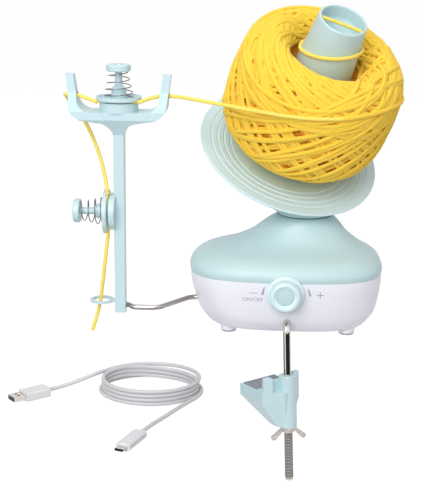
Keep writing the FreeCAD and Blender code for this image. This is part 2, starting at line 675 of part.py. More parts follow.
def make_head():
    outer = case_solid(0.0).common(below_lid(TURRET_LID))
    inner = case_solid(TURRET_WALL).common(below_lid(TURRET_LID + TURRET_WALL))
    shell = outer.cut(inner)
    shell = shell.cut(cyl(HEAD_SHAFT_R + PRESS, NECK_Z, NECK_Z + 3.0))
    pin = cyl(2.2, NECK_Z + GAP_TURN + 0.5, PLANET_TOP, PLANET_XY.x, PLANET_XY.y)
    top = CROSS - AXIS * LID_SPLIT + DOWN * CASE_SHIFT
    upper = place(cyl(CASE_R + 1.0, 0, 12.0), top, AXIS, DOWN)
    body = shell.cut(upper).fuse(pin)
    seat = place(cyl(BUSH_R + 2.2, 0, 64.0 - TURRET_LID - 0.3), CROSS - AXIS * 64.0, AXIS, DOWN)
    lid = shell.common(upper).fuse(seat)
    lid = lid.cut(place(cyl(BUSH_R + PRESS, 0, 20), CROSS - AXIS * 66.0, AXIS, DOWN))
    save("turret_body", body.removeSplitter())
    save("turret_lid", lid.removeSplitter())

    floor = NECK_Z + GAP_TURN
    shaft = tube(HEAD_SHAFT_R, HEAD_SHAFT_BORE, DRIVE_Z - 1.0, floor + TURRET_WALL)
    save("head_shaft", shaft)
    bush = place(tube(BUSH_R, BOBBIN_SHAFT_R + RUN, 0, 63.8 - TURRET_LID), CROSS - AXIS * 63.8, AXIS, DOWN)
    save("bobbin_bush", bush)

    gap_side = math.atan2(FWD.y, FWD.x)
    planet = spur(PLANET_TEETH, SUN_MODULE, gap_side + math.pi / PLANET_TEETH, SUN_Z, SUN_FACE, 2.2 + RUN)
    stem = tube(3.5, 2.2 + RUN, SUN_Z + SUN_FACE - 0.5, APEX.z - BEVEL_FAR * math.cos(CONE_A) + 0.5)
    planet = planet.fuse(stem)
    planet.translate(PLANET_XY)
    cone = bevel(BEVEL_A_TEETH, CONE_A, 0.0, BEVEL_FAR, BEVEL_NEAR, 2.2 + RUN)
    cone = place(cone, APEX, V(0, 0, 1), FWD * -1)
    save("planet_gear", planet.fuse(cone).removeSplitter())


PLANET_TOP = APEX.z - BEVEL_NEAR * math.cos(CONE_A) + 0.6


def make_bobbin():
    at = PLATE_C
    wheel = bevel(BEVEL_B_TEETH, CONE_B, math.pi / BEVEL_B_TEETH, BEVEL_FAR, BEVEL_NEAR, BOBBIN_SHAFT_R + PRESS)
    save("bobbin_gear", place(wheel, APEX, AXIS, DOWN))
    low = APEX_DROP + BEVEL_FAR * math.cos(CONE_B) + 1.0 - PLATE_DROP
    shaft = cyl(BOBBIN_SHAFT_R, -low, 20.0)
    save("bobbin_shaft", place(shaft, at, AXIS, DOWN))

    flat = 30.0
    rim = PLATE_R
    top = [(BOBBIN_SHAFT_R + PRESS, 13.0), (HUB_R, 13.0), (HUB_R, -PLATE_DISH), (flat, -PLATE_DISH)]
    for r in PLATE_RINGS:
        s = -PLATE_DISH * (1 - (r - flat) / (rim - flat)) ** 1.5
        top += [(r - 1.0, s), (r, s - RING_D), (r + 1.0, s + 0.05)]
    top += [(rim - 0.8, 0.0), (rim, -0.6), (rim, -1.4), (rim - 1.0, -PLATE_T)]
    under = [(flat, -PLATE_DISH - PLATE_T), (BOBBIN_SHAFT_R + PRESS, -PLATE_DISH - PLATE_T)]
    save("bobbin_plate", place(turned(top + under), at, AXIS, DOWN))

    slope = math.tan(math.radians(CORE_TAPER))
    foot = -PLATE_DISH

    def core_r(s):
        return CORE_TOP_R + (CORE_H - s) * slope

    w = CORE_WALL
    cup = CORE_H - CUP_DEPTH
    pts = [(core_r(foot), foot), (core_r(CORE_H - 0.8), CORE_H - 0.8), (CORE_TOP_R - 0.7, CORE_H),
           (CORE_TOP_R - w + 0.5, CORE_H), (CORE_TOP_R - w, CORE_H - 0.7), (CORE_TOP_R - w - 0.6, cup + 6.0),
           (CORE_TOP_R - w - 3.0, cup + 1.8), (CORE_TOP_R - w - 8.0, cup), (0, cup), (0, cup - w),
           (core_r(cup - w) - w, cup - w), (core_r(foot) - w, foot)]
    save("bobbin_core", place(turned(pts), at, AXIS, DOWN))

    save("yarn_ball", place(ball_form(core_r), at, AXIS, DOWN))


    def wrap_point(k):
        x = 0.03 + 0.46 * k
        b = math.radians(-126.0 + 180.0 * x)
        s = CORE_H - WRAP_DROP + WRAP_RISE * math.cos(b - math.radians(3.0))
        r = core_r(s) + YARN_D / 2 + 0.2
        return V(r * math.cos(b), r * math.sin(b), s)

    wrap = swept(Part.Wire(winding(wrap_point, 4, 1)), YARN_D / 2, "core wrap")
    save("core_wrap", place(wrap, at, AXIS, DOWN))
    turn = math.radians(END_TURN)
    along = V(math.cos(turn), math.sin(turn), 0)
    off = V(math.sin(turn), -math.cos(turn), 0) * END_OFF
    half = math.sqrt((CORE_TOP_R - w - 0.15 - SEAT) ** 2 - (END_OFF + YARN_D / 2) ** 2)
    strand = place(cyl(YARN_D / 2, -half, half), off + V(0, 0, CORE_H - YARN_D / 2 - 0.8), along, V(0, 0, 1))
    save("yarn_end", place(strand, at, AXIS, DOWN))


def ball_form(core_r):
    """Wound ball: round flanks, a rolled top that turns in to the core and a foot on the plate."""
    foot = 1.2
    mouth = BALL_TOP - MOUTH_DEPTH
    m = V(0, 0, BALL_MID)

    def on(angle, r=BALL_R):
        a = math.radians(angle)
        return m + V(r * math.cos(a), 0, r * math.sin(a))

    a = V(35.0, 0, foot)
    b = on(-25.0)
    c = on(38.0)
    top = V(43.5, 0, BALL_TOP)
    inner = V(core_r(mouth) + SEAT, 0, mouth)
    base = V(core_r(foot) + SEAT, 0, foot)
    edges = [
        Part.LineSegment(base, a).toShape(),
        Part.Arc(a, on(-42.5, BALL_R + 2.2), b).toShape(),
        Part.Arc(b, on(6.0), c).toShape(),
        Part.Arc(c, on(43.5, BALL_R - 0.4), top).toShape(),
        Part.Arc(top, V(30.5, 0, BALL_TOP - 6.6), inner).toShape(),
        Part.LineSegment(inner, base).toShape(),
    ]
    return turned_curve(edges)


# Yarn guide: bent arm, fork, eye ring and two tension units
def make_guide():
    pts = [V(ARM_X_IN, ARM_Y, ARM_Z), V(BASE_LEFT - 0.2, ARM_Y, ARM_Z), V(-110.5, -44.0, ARM_Z), V(-129.5, -44.0, ARM_Z),
           V(-133.6, POST_CY, ARM_Z), V(POST_CX - 3.0, POST_CY, ARM_Z)]
    wire, radii = route(pts, [9.0, 9.0, 5.0, 5.0])
    print("guide arm radii", radii)
    save("guide_arm", swept(wire, ARM_R, "guide arm"))

    save("guide_post", make_fork())
    ring_c = V(POST_CX - STEM_W / 2 - RING_OUT_R - 1.2, POST_CY, RING_Z)
    ring = tube(RING_OUT_R, RING_IN_R, 0, RING_T).fuse(box(RING_OUT_R - 1.6, RING_OUT_R + 1.2, -3.0, 3.0, 0, RING_T))
    ring.translate(ring_c)
    save("eye_ring", ring.removeSplitter())
    return ring_c


def fork_outline():
    """Half of the fork's front outline, from the stem up and round to the middle of the bar."""
    h = FORK_HALF
    u = BAR_TOP - BAR_T
    s = STEM_W / 2
    a = V(s, 0, u - 11.0)
    b = V(s + 11.0, 0, u - 1.6)
    c = V(h - 15.5, 0, u)
    d = V(h - 2.9, 0, BAR_TOP + 4.0)
    e = V(h, 0, PRONG_TOP)
    f = V(h - PRONG_T, 0, PRONG_TOP)
    g = V(h - PRONG_T - 2.5, 0, BAR_TOP + 10.0)
    k = V(h - PRONG_T - 12.0, 0, BAR_TOP)
    edges = [
        Part.Arc(a, V(s + 3.4, 0, u - 4.6), b).toShape(),
        Part.LineSegment(b, c).toShape(),
        Part.Arc(c, V(h - 6.6, 0, u + 3.5), d).toShape(),
        Part.LineSegment(d, e).toShape(),
        Part.LineSegment(e, f).toShape(),
        Part.LineSegment(f, g).toShape(),
        Part.Arc(g, V(h - PRONG_T - 5.2, 0, BAR_TOP + 3.1), k).toShape(),
    ]
    return edges, a, k


def make_fork():
    edges, a, k = fork_outline()
    edges = edges + [Part.LineSegment(k, V(0, 0, BAR_TOP)).toShape(),
                     Part.LineSegment(V(0, 0, BAR_TOP), V(0, 0, a.z)).toShape(),
                     Part.LineSegment(V(0, 0, a.z), a).toShape()]
    face = Part.Face(Part.Wire(Part.__sortEdges__(edges)))
    half = face.extrude(V(0, FORK_DEPTH, 0))
    half.translate(V(0, -FORK_DEPTH / 2, 0))
    other = half.mirror(V(0, 0, 0), V(1, 0, 0))
    yoke = half.fuse(other)
    d = FORK_DEPTH / 2
    p = PRONG_DEPTH / 2
    s = STEM_D / 2
    u = BAR_TOP - BAR_T
    side = [V(0, -s, u - 14.0), V(0, -s, u - 11.0), V(0, -d, u + 1.0), V(0, -d, BAR_TOP + 0.4),
            V(0, -p - 0.6, BAR_TOP + 14.0), V(0, -p, PRONG_TOP + 1)]
    side += [V(0, -q.y, q.z) for q in reversed(side)]
    mask = Part.Face(Part.makePolygon(side + [side[0]])).extrude(V(100, 0, 0))
    mask.translate(V(-50, 0, 0))
    yoke = yoke.common(mask)
    stem = box(-STEM_W / 2, STEM_W / 2, -STEM_D / 2, STEM_D / 2, STEM_LOW, u - 10.9)
    stem = soften(stem, 0.8, lambda e: abs(e.tangentAt(e.FirstParameter).z) > 0.9)
    fork = yoke.fuse(stem)
    fork = fork.fuse(cyl(BOSS_R, BAR_TOP - 0.5, BAR_TOP + BOSS_H))
    fork = fork.fuse(tension_pin(BOSS_H, BAR_TOP))
    low = cyl(BOSS_R - 0.3, 0, LOW_BOSS_H + STEM_W / 2).fuse(tension_pin(LOW_BOSS_H, STEM_W / 2 - 0.0))
    fork = fork.fuse(place(low, V(0, 0, LOW_UNIT_Z), V(-1, 0, 0), V(0, 0, 1)).cut(box(-3.0, 60, -60, 60, 0, 150)))
    fork = fork.cut(place(cyl(EYE_R, -60, 60), V(0, 0, EYE_Z), V(1, 0, 0), V(0, 1, 0)).cut(cyl(20, 100, 200)))
    bore = place(cyl(ARM_R + RUN, 0, 20.0), V(-3.5, 0, ARM_Z), V(1, 0, 0), V(0, 1, 0))
    fork = fork.cut(bore)
    fork.translate(V(POST_CX, POST_CY, 0))
    return fork.removeSplitter()


def tension_pin(boss, base):
    """Stepped pin that carries the cup, the spring and the knob."""
    top = base + boss
    pin = turned([(0, base), (HUB2_R, base), (HUB2_R, top + NIP + HUB2_H), (PIN_R + 0.4, top + NIP + HUB2_H + 2.2),
                  (PIN_R, top + NIP + HUB2_H + 2.6), (PIN_R, top + KNOB_AT), (0, top + KNOB_AT)])
    return pin.cut(cyl(1.3, top + KNOB_AT - 9.0, top + KNOB_AT + 1))


def tension_parts():
    """Cup, spring, knob and screw of one unit, with the boss's face at height 0."""
    c0 = NIP
    cup = turned([(HUB2_R + RUN, c0), (CUP_R - 0.8, c0), (CUP_R, c0 + 0.8), (CUP_R, c0 + CUP_H),
                  (CUP_R - CUP_RIM + 0.6, c0 + CUP_H), (CUP_R - CUP_RIM, c0 + CUP_H - 0.8),
                  (CUP_R - CUP_RIM - 1.2, c0 + CUP_FLOOR), (HUB2_R + RUN, c0 + CUP_FLOOR)])
    k0 = KNOB_AT + 0.1
    knob = turned([(1.6, k0), (KNOB_R - 0.6, k0), (KNOB_R, k0 + 0.6), (KNOB_R, k0 + KNOB_H - 0.8),
                   (KNOB_R - 0.8, k0 + KNOB_H), (3.4, k0 + KNOB_H), (3.4, k0 + KNOB_H - 1.4), (1.6, k0 + KNOB_H - 1.4)])
    s0 = k0 + KNOB_H - 1.35
    screw = cyl(1.3 - PRESS, KNOB_AT - 8.0, s0).fuse(
        turned([(0, s0), (3.0, s0), (2.8, s0 + 1.1), (1.9, s0 + 1.9), (0, s0 + 2.3)]))
    screw = screw.cut(box(-1.7, 1.7, -0.35, 0.35, s0 + 1.3, s0 + 4)).cut(box(-0.35, 0.35, -1.7, 1.7, s0 + 1.3, s0 + 4))
    low = c0 + CUP_FLOOR + SPRING_WIRE / 2 + 0.1
    high = KNOB_AT - SPRING_WIRE / 2 - 0.1

    def point(u):
        f = u / SPRING_TURNS
        r = SPRING_LOW_R + (SPRING_TOP_R - SPRING_LOW_R) * f
        a = 2 * math.pi * u
        return V(r * math.cos(a), r * math.sin(a), low + (high - low) * f * (0.85 + 0.15 * f))

    wire = Part.Wire(winding(point, SPRING_TURNS, 3))
    print("spring least gap", self_gap(point, SPRING_TURNS, SPRING_WIRE))
    spring = swept(wire, SPRING_WIRE / 2, "spring")
    return {"cup": cup, "knob": knob, "screw": screw, "spring": spring}


def make_tension():
    parts = tension_parts()
    for key, shape in parts.items():
        save("upper_" + key, place(shape, V(POST_CX, POST_CY, BAR_TOP + BOSS_H), V(0, 0, 1), V(1, 0, 0)))
        at = V(POST_CX - STEM_W / 2 - LOW_BOSS_H, POST_CY, LOW_UNIT_Z)
        save("lower_" + key, place(shape, at, V(-1, 0, 0), V(0, 0, 1)))


# Yarn from the tail through the ring, both tension units and the fork to the ball
def make_feed(ring_c):
    r = YARN_D / 2
    nip_x = POST_CX - STEM_W / 2 - LOW_BOSS_H - NIP / 2
    nip_low = LOW_UNIT_Z - CUP_R - 1.0
    nip_high = LOW_UNIT_Z + CUP_R + 1.0
    tail = [V(ring_c.x - 3.6, POST_CY - 2.0, 1.2), V(ring_c.x - 1.2, POST_CY, RING_Z),
            V(nip_x - 3.0, POST_CY - 7.0, nip_low - 20.0), V(nip_x, POST_CY - 8.4, nip_low)]
    wire, radii = route(tail)
    print("yarn tail radii", radii)
    save("yarn_tail", swept(wire, r, "yarn tail"))
    flat = box(nip_x - NIP / 2 + 0.1, nip_x + NIP / 2 - 0.1, POST_CY - 11.0, POST_CY - 6.4, nip_low, nip_high)
    save("yarn_nip_low", flat)
    out_x = POST_CX - FORK_HALF
    rise = [V(nip_x, POST_CY - 8.4, nip_high), V(nip_x - 3.0, POST_CY - 3.0, nip_high + 14.0),
            V(POST_CX - 23.0, POST_CY + 16.0, BAR_TOP - 20.0), V(POST_CX - 33.0, POST_CY + 17.4, BAR_TOP - 3.0),
            V(out_x - 0.8, POST_CY + 12.6, EYE_Z - 5.8), V(out_x - 2.2, POST_CY + 7.0, EYE_Z - 1.4),
            V(out_x - 2.2, POST_CY, EYE_Z), V(out_x + 9.0, POST_CY, EYE_Z),
            V(POST_CX - CUP_R - 1.0, POST_CY - 7.6, BAR_TOP + BOSS_H + 0.5)]
    wire, radii = route(rise)
    print("yarn rise radii", radii)
    save("yarn_rise", swept(wire, r, "yarn rise"))
    z0 = BAR_TOP + BOSS_H
    half = CUP_R + 1.0
    flat = box(POST_CX - half, POST_CX + half, POST_CY - 10.2, POST_CY - 6.4, z0 + 0.1, z0 + NIP - 0.1)
    save("yarn_nip_high", flat)
    eye_x = POST_CX + FORK_HALF - PRONG_T / 2 - 1.5
    lead = [V(POST_CX + half, POST_CY - 7.6, z0 + 0.5), V(eye_x - 7.6, POST_CY - 0.2, EYE_Z - 0.2),
            V(eye_x + 7.0, POST_CY, EYE_Z)]
    wire, radii = route(lead)
    print("yarn lead radii", radii)
    save("yarn_lead", swept(wire, r, "yarn lead"))
    make_span(V(eye_x + 7.0, POST_CY, EYE_Z))


def make_span(start):
    """Taut strand from the fork that comes down on the ball and lies round its front."""
    r = YARN_D / 2
    centre = PLATE_C + AXIS * BALL_MID
    reach = BALL_R + r + SEAT
    end = centre + (V(24.0, -70.0, 172.0) - centre).normalize() * reach
    normal = (start - centre).cross(end - centre)
    normal.normalize()
    gap = (start - centre).Length
    lean = math.acos(reach / gap)
    to_start = (start - centre).normalize()
    side = normal.cross(to_start)
    touch = centre + to_start * (reach * math.cos(lean)) + side * (reach * math.sin(lean))
    sweep = (touch - centre).getAngle(end - centre)
    mid_dir = ((touch - centre).normalize() + (end - centre).normalize()).normalize()
    lap = Part.Arc(touch, centre + mid_dir * reach, end).toShape()
    wire = Part.Wire([Part.LineSegment(start, touch).toShape(), lap])
    print("yarn span", round(wire.Length, 1), "lap", round(math.degrees(sweep), 1), "touch", touch, "end", end)
    save("yarn_span", swept(wire, r, "yarn span"))


# Table clamp: bent rod, jaw with pad, wing nut
def make_clamp():
    pts = [V(ROD_X, ROD_IN, ROD_Z), V(ROD_X, ROD_Y, ROD_Z), V(ROD_X, ROD_Y, ROD_LOW)]
    wire, radii = route(pts, [ROD_BEND])
    print("clamp rod radii", radii)
    save("clamp_rod", leaned(swept(wire, ROD_R, "clamp rod")))

    a = math.radians(JAW_TURN)
    u = V(-math.sin(a), math.cos(a), 0)
    at = V(ROD_X, ROD_Y, 0)
    top = PLATFORM_Z
    left = PLATFORM_SIDE + PLATFORM_W / 2
    right = PLATFORM_SIDE - PLATFORM_W / 2
    near = JAW_TUBE_R - 3.0
    plan = [(PLATFORM_L, right), (PLATFORM_L, left), (near, left), (1.2 - JAW_TUBE_R, JAW_TUBE_R),
            (1.2 - JAW_TUBE_R, -2.0), (near - 2.0, right)]
    foot = JAW_LOW + 0.8
    middle = (-2.2, 3.2)
    small = [(middle[0] + (x - middle[0]) * JAW_FOOT, middle[1] + (y - middle[1]) * JAW_FOOT) for x, y in plan]
    arm = plate(plan, top - PLATFORM_END_T, top).fuse(frustum(plan, small, top - PLATFORM_END_T, foot))
    y_in = (right + 3.0, left - 3.0)
    x_in = (JAW_TUBE_R + 3.0, PLATFORM_L - 3.0)
    wide = [(x_in[0], y_in[0]), (x_in[1], y_in[0]), (x_in[1], y_in[1]), (x_in[0], y_in[1])]
    slim = (small[0][1] + 2.6, small[1][1] - 2.6)
    narrow = [(x_in[0], slim[0]), (x_in[1], slim[0]), (x_in[1], slim[1]), (x_in[0], slim[1])]
    arm = arm.cut(frustum(wide, narrow, top - 4.0, foot))
    arm = arm.cut(box(PAD_FROM, PLATFORM_L - 2.0, right + 2.0, left - 2.0, top - PAD_T + 0.8, top + 1))
    jaw = arm.fuse(cyl(JAW_TUBE_R, JAW_LOW, JAW_TOP))
    above = plate(plan, top - 0.5, top + EAR_H)
    for y0 in (left - 1.2 - EAR_T, right):
        ear = box(-JAW_TUBE_R, near + 1.4, y0, y0 + EAR_T, top - 0.5, top + EAR_H)
        jaw = jaw.fuse(ear.common(above))
    web = box(near - 1.4, near + 1.4, right + 2.0, left - 3.0, top - 0.5, top + EAR_H - 3.0)
    jaw = jaw.fuse(web)
    jaw = jaw.cut(cyl(ROD_R + RUN, JAW_LOW - 1, JAW_TOP + 1))
    pad = box(PAD_FROM + 0.1, PLATFORM_L - 2.1, right + 2.1, left - 2.1, top - PAD_T + 0.82, top + 0.6)
    save("clamp_jaw", leaned(place(jaw.removeSplitter(), at, V(0, 0, 1), u)))
    save("jaw_pad", leaned(place(pad, at, V(0, 0, 1), u)))

    n1 = JAW_LOW - 0.1
    n0 = n1 - NUT_H
    hub = turned([(ROD_R + RUN, n0), (NUT_R - 0.4, n0), (NUT_R, n1 - 1.4), (NUT_R + 1.6, n1 - 1.0),
                  (NUT_R + 1.6, n1), (ROD_R + RUN, n1)])
    wing = [V(NUT_R - 0.6, 0, n1 - 0.2), V(WING_SPAN, 0, n1 - WING_DROP + 3.0),
            V(WING_SPAN - 2.8, 0, n1 - WING_DROP), V(NUT_R - 0.6, 0, n1 - 3.8)]
    blade = Part.Face(Part.makePolygon(wing + [wing[0]])).extrude(V(0, 2.0, 0))
    blade = soften(blade, 1.6, lambda e: abs(e.tangentAt(e.FirstParameter).y) > 0.9 and e.BoundBox.XMin > NUT_R + 2)
    blade.translate(V(0, -1.0, 0))
    nut = hub.fuse(blade).fuse(blade.mirror(V(0, 0, 0), V(1, 0, 0)))
    save("wing_nut", leaned(place(nut.removeSplitter(), at, V(0, 0, 1), V(1, 0.25, 0))))


def plate(plan, z0, z1):
    """Slab with a straight-sided plan between two heights."""
    pts = [V(x, y, z0) for x, y in plan]
    return Part.Face(Part.makePolygon(pts + [pts[0]])).extrude(V(0, 0, z1 - z0))


def frustum(high, low, z1, z0):
    """Solid with flat flanks between two plans of equal corner count."""
    ends = [Part.makePolygon([V(x, y, z) for x, y in plan + plan[:1]]) for plan, z in ((low, z0), (high, z1))]
    return Part.makeLoft(ends, True, True)


def leaned(shape):
    """Turns a clamp piece about the rod's bore, so that its foot hangs to the right."""
    out = shape.copy()
    out.rotate(V(ROD_X, ROD_Y, ROD_Z), V(0, 1, 0), -ROD_LEAN)
    return out


# Loose lead with its two plugs
def make_lead():
    z = FLOOR_Z + CORD_D / 2
    first, t_first = coil_end(0.0)
    last, t_last = coil_end(float(COIL_STEPS))
    make_plug_a()
    make_plug_c()
    a_exit, a_dir = PLUG_A
    pts = [a_exit, a_exit + a_dir * 14.0, V(-203.2, 123.0, z + 6.4), first - t_first * (CORD_D + 17.0),
           first - t_first * CORD_D]
    wire, radii = route(pts)
    print("lead a radii", radii)
    save("usb_cord_a", swept(wire, CORD_D / 2, "lead a"))
    c_exit, c_dir = PLUG_C
    end = last + t_last * CORD_D
    pts = [c_exit, c_exit + c_dir * 14.0, V(-117.4, 56.6, z), V(-106.0, 82.2, z), end]
    wire, radii = route(pts)
    print("lead c radii", radii)
    save("usb_cord_c", swept(wire, CORD_D / 2, "lead c"))
    edges = [Part.LineSegment(first - t_first * CORD_D, first).toShape()]
    edges += winding(coil_point, COIL_STEPS, 1)
    edges.append(Part.LineSegment(last, end).toShape())
    coil = swept(Part.Wire(edges), CORD_D / 2, "coil")
    print("coil least gap", coil_gap())
    save("usb_coil", coil)


def coil_point(w):
    """Point of the coil after w quarter steps: flat loops, each one cord lower than the last."""
    a = math.radians(COIL_START - w * COIL_SWEEP / COIL_STEPS)
    top = COIL_LAYERS - 1
    loop = min(int(w // 4), COIL_LAYERS)
    drop = ease(w - 4 * loop) if 0 < loop <= top else 0.0
    level = min(top, max(0, loop - 1) + drop)
    out = COIL_PITCH * (1 - ease(w - 1) + ease(w - 4 * COIL_LAYERS + 1))
    z = FLOOR_Z + CORD_D / 2 + COIL_PITCH * (top - level)
    return V(COIL_X + (COIL_RX + out) * math.cos(a), COIL_Y + (COIL_RY + out) * math.sin(a), z)


def ease(f):
    """Smooth step from 0 to 1."""
    f = min(1.0, max(0.0, f))
    return f * f * (3 - 2 * f)


def coil_end(w):
    """End point and direction of travel there."""
    h = 1e-4
    t = coil_point(w + h) - coil_point(w - h)
    t.normalize()
    return coil_point(w), t


def coil_gap():
    """Least gap between the coil's turns, measured on points."""
    n = 24
    pts = [coil_point(i / n) for i in range(COIL_STEPS * n + 1)]
    least = 1e9
    for i in range(len(pts)):
        for j in range(i + 2 * n, len(pts)):
            least = min(least, (pts[i] - pts[j]).Length)
    return round(least - CORD_D, 3)


def make_plug_a():
    exit_at, way = PLUG_A
    across = V(way.y, -way.x, 0)
    body = rounded_slab(15.6, 8.2, 24.0, 1.6)
    body = body.fuse(turned([(0, 23.5), (3.3, 23.5), (2.5, 27.0), (0, 27.0)]))
    save("usb_a_body", place(body.removeSplitter(), exit_at - way * 27.0, way, across))
    shell = rounded_slab(12.0, 4.5, 12.0, 0.4).cut(rounded_slab(11.4, 3.9, 10.0, 0.2))
    for x in (-2.6, 2.6):
        shell = shell.cut(box(x - 1.2, x + 1.2, -3.0, 3.0, 4.6, 7.0))
    shell = shell.fuse(box(-5.6, 5.6, 0.1, 1.9, 0.6, 11.5)).removeSplitter()
    save("usb_a_shell", place(shell, exit_at - way * 39.0, way, across))


def make_plug_c():
    exit_at, way = PLUG_C
    across = V(way.y, -way.x, 0)
    body = rounded_slab(13.0, 7.0, 31.0, 3.1)
    body = body.fuse(turned([(0, 30.5), (3.0, 30.5), (2.4, 35.0), (0, 35.0)]))
    save("usb_c_body", place(body.removeSplitter(), exit_at - way * 35.0, way, across))
    shell = rounded_slab(8.3, 2.5, 7.0, 1.2).cut(rounded_slab(7.7, 1.9, 5.6, 0.9))
    save("usb_c_shell", place(shell, exit_at - way * 42.0, way, across))


PLUG_A = (V(-227.5, 109.0, FLOOR_Z + 4.1), V(0.756, 0.654, 0).normalize())
PLUG_C = (V(-131.5, 19.4, FLOOR_Z + 3.5), V(0.33, 0.944, 0).normalize())

make_base()
make_drive()
make_dial()
make_head()
make_bobbin()
ring_centre = make_guide()
make_tension()
make_feed(ring_centre)
make_clamp()
make_lead()
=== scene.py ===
# %% [markdown]
# # Electric yarn ball winder, with a ball half wound
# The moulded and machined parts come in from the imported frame. This lesson gives them their finishes,
# and makes what a solid modeller does badly: the yarn, the wound ball, the springs, the screw thread,
# the lead and the printed marks on the base.

# %% Load the frame
import json
import math

import bmesh
import bpy
from mathutils import Matrix, Vector
from mathutils.bvhtree import BVHTree


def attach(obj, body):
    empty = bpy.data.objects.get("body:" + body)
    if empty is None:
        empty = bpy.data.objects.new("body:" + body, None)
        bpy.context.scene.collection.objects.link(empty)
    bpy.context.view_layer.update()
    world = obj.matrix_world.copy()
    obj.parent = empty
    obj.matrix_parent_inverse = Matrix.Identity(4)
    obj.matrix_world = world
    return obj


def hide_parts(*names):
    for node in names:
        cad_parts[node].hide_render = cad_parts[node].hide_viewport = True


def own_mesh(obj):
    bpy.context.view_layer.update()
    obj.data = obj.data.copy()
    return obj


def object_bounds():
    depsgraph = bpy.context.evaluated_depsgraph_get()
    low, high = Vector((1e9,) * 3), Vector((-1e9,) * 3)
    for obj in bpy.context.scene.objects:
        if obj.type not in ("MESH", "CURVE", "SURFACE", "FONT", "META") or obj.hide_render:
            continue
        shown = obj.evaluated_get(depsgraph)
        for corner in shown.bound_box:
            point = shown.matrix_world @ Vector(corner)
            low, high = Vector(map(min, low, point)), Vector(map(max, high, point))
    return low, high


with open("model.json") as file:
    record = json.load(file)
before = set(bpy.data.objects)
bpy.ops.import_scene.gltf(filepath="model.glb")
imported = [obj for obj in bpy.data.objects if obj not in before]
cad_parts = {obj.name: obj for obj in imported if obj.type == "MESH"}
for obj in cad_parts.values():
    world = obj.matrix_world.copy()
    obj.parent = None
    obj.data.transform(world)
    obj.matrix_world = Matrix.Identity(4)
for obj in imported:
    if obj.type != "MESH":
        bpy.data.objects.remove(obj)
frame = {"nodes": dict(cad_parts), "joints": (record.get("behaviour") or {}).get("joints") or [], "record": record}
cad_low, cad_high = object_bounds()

MM = 0.001
nodes = frame["nodes"]
scene = bpy.context.scene
joints = {joint["name"]: joint for joint in frame["joints"]}
print("frame", len(nodes), "nodes, box in mm",
      [round(v / MM) for v in cad_low], [round(v / MM) for v in cad_high])

# %% [markdown]
# ## The camera
# A product photograph is taken from a little above with a long lens, so that upright edges stay upright.
# The camera stands 936 mm in front of the winder. Its three angles are written as they would be read off
# a tripod head, and turned into the axes of a rotation matrix.

# %% Camera
CAMERA_AT = Vector((-9.85, -936.0, 294.8)) * MM
PAN_LEFT = math.radians(3.87)
TILT_DOWN = math.radians(13.8)
ROLL = math.radians(0.46)
FOCUS_PX = 1230.0
FRAME_PX = 423.0
SENSOR_MM = 36.0
NEAR_M = 0.01
FAR_M = 20.0


def make_camera():
    ahead = Vector((-math.sin(PAN_LEFT) * math.cos(TILT_DOWN),
                    math.cos(PAN_LEFT) * math.cos(TILT_DOWN), -math.sin(TILT_DOWN)))
    right = Vector((math.cos(PAN_LEFT), math.sin(PAN_LEFT), 0.0))
    up = right.cross(ahead)
    rolled = right * math.cos(ROLL) + up * math.sin(ROLL)
    up = rolled.cross(ahead)
    data = bpy.data.cameras.new("camera")
    data.sensor_fit = "HORIZONTAL"
    data.sensor_width = SENSOR_MM
    data.lens = SENSOR_MM * FOCUS_PX / FRAME_PX
    data.clip_start = NEAR_M
    data.clip_end = FAR_M
    camera = bpy.data.objects.new("camera", data)
    scene.collection.objects.link(camera)
    turn = Matrix((rolled, up, -ahead)).transposed().to_4x4()
    camera.matrix_world = Matrix.Translation(CAMERA_AT) @ turn
    scene.camera = camera
    print("camera lens", round(data.lens, 1), "mm")


make_camera()
scene.view_settings.view_transform = "Standard"

# %% [markdown]
# ## Small helpers
# `link_node` adds one node to any node tree, material or geometry, with its settings and its inputs, so a
# tree reads from top to bottom. `paint` turns an sRGB hex value to linear light. `plain_mesh` keeps what a
# modifier or a curve makes as a plain mesh object at the origin. `finish_piece` is the last step of each piece.

# %% Helpers
def link_node(tree, kind, inputs=None, **settings):
    """Adds a node with its settings. An input is a value, or a socket to link from."""
    node = tree.nodes.new(kind)
    for name, value in settings.items():
        setattr(node, name, value)
    for name, value in (inputs or {}).items():
        if isinstance(value, bpy.types.NodeSocket):
            tree.links.new(value, node.inputs[name])
        else:
            node.inputs[name].default_value = value
    return node


def math_node(tree, operation, *values):
    """One step of arithmetic, given back as its output socket."""
    return link_node(tree, "ShaderNodeMath", dict(enumerate(values)), operation=operation).outputs[0]


def paint(code, alpha=1.0):
    """An sRGB hex colour as linear values."""
    out = []
    for i in (0, 2, 4):
        c = int(code.lstrip("#")[i:i + 2], 16) / 255
        out.append(c / 12.92 if c <= 0.04045 else ((c + 0.055) / 1.055) ** 2.4)
    return (*out, alpha)


def put_in_scene(name, data):
    """A new object at the origin that shows this data."""
    thing = bpy.data.objects.new(name, data)
    scene.collection.objects.link(thing)
    return thing


def mesh_from(shape, name):
    """Turns a bmesh to a mesh and frees it."""
    made = bpy.data.meshes.new(name)
    shape.to_mesh(made)
    shape.free()
    return made


def evaluated_mesh(thing):
    """The object's shape with its modifiers and its curve's rounding, as a new mesh."""
    return bpy.data.meshes.new_from_object(thing.evaluated_get(bpy.context.evaluated_depsgraph_get()))


def plain_mesh(source, name):
    """The evaluated shape of an object as a new plain mesh object; the source is removed."""
    made = evaluated_mesh(source)
    made.name = name
    bpy.data.objects.remove(source)
    return put_in_scene(name, made)


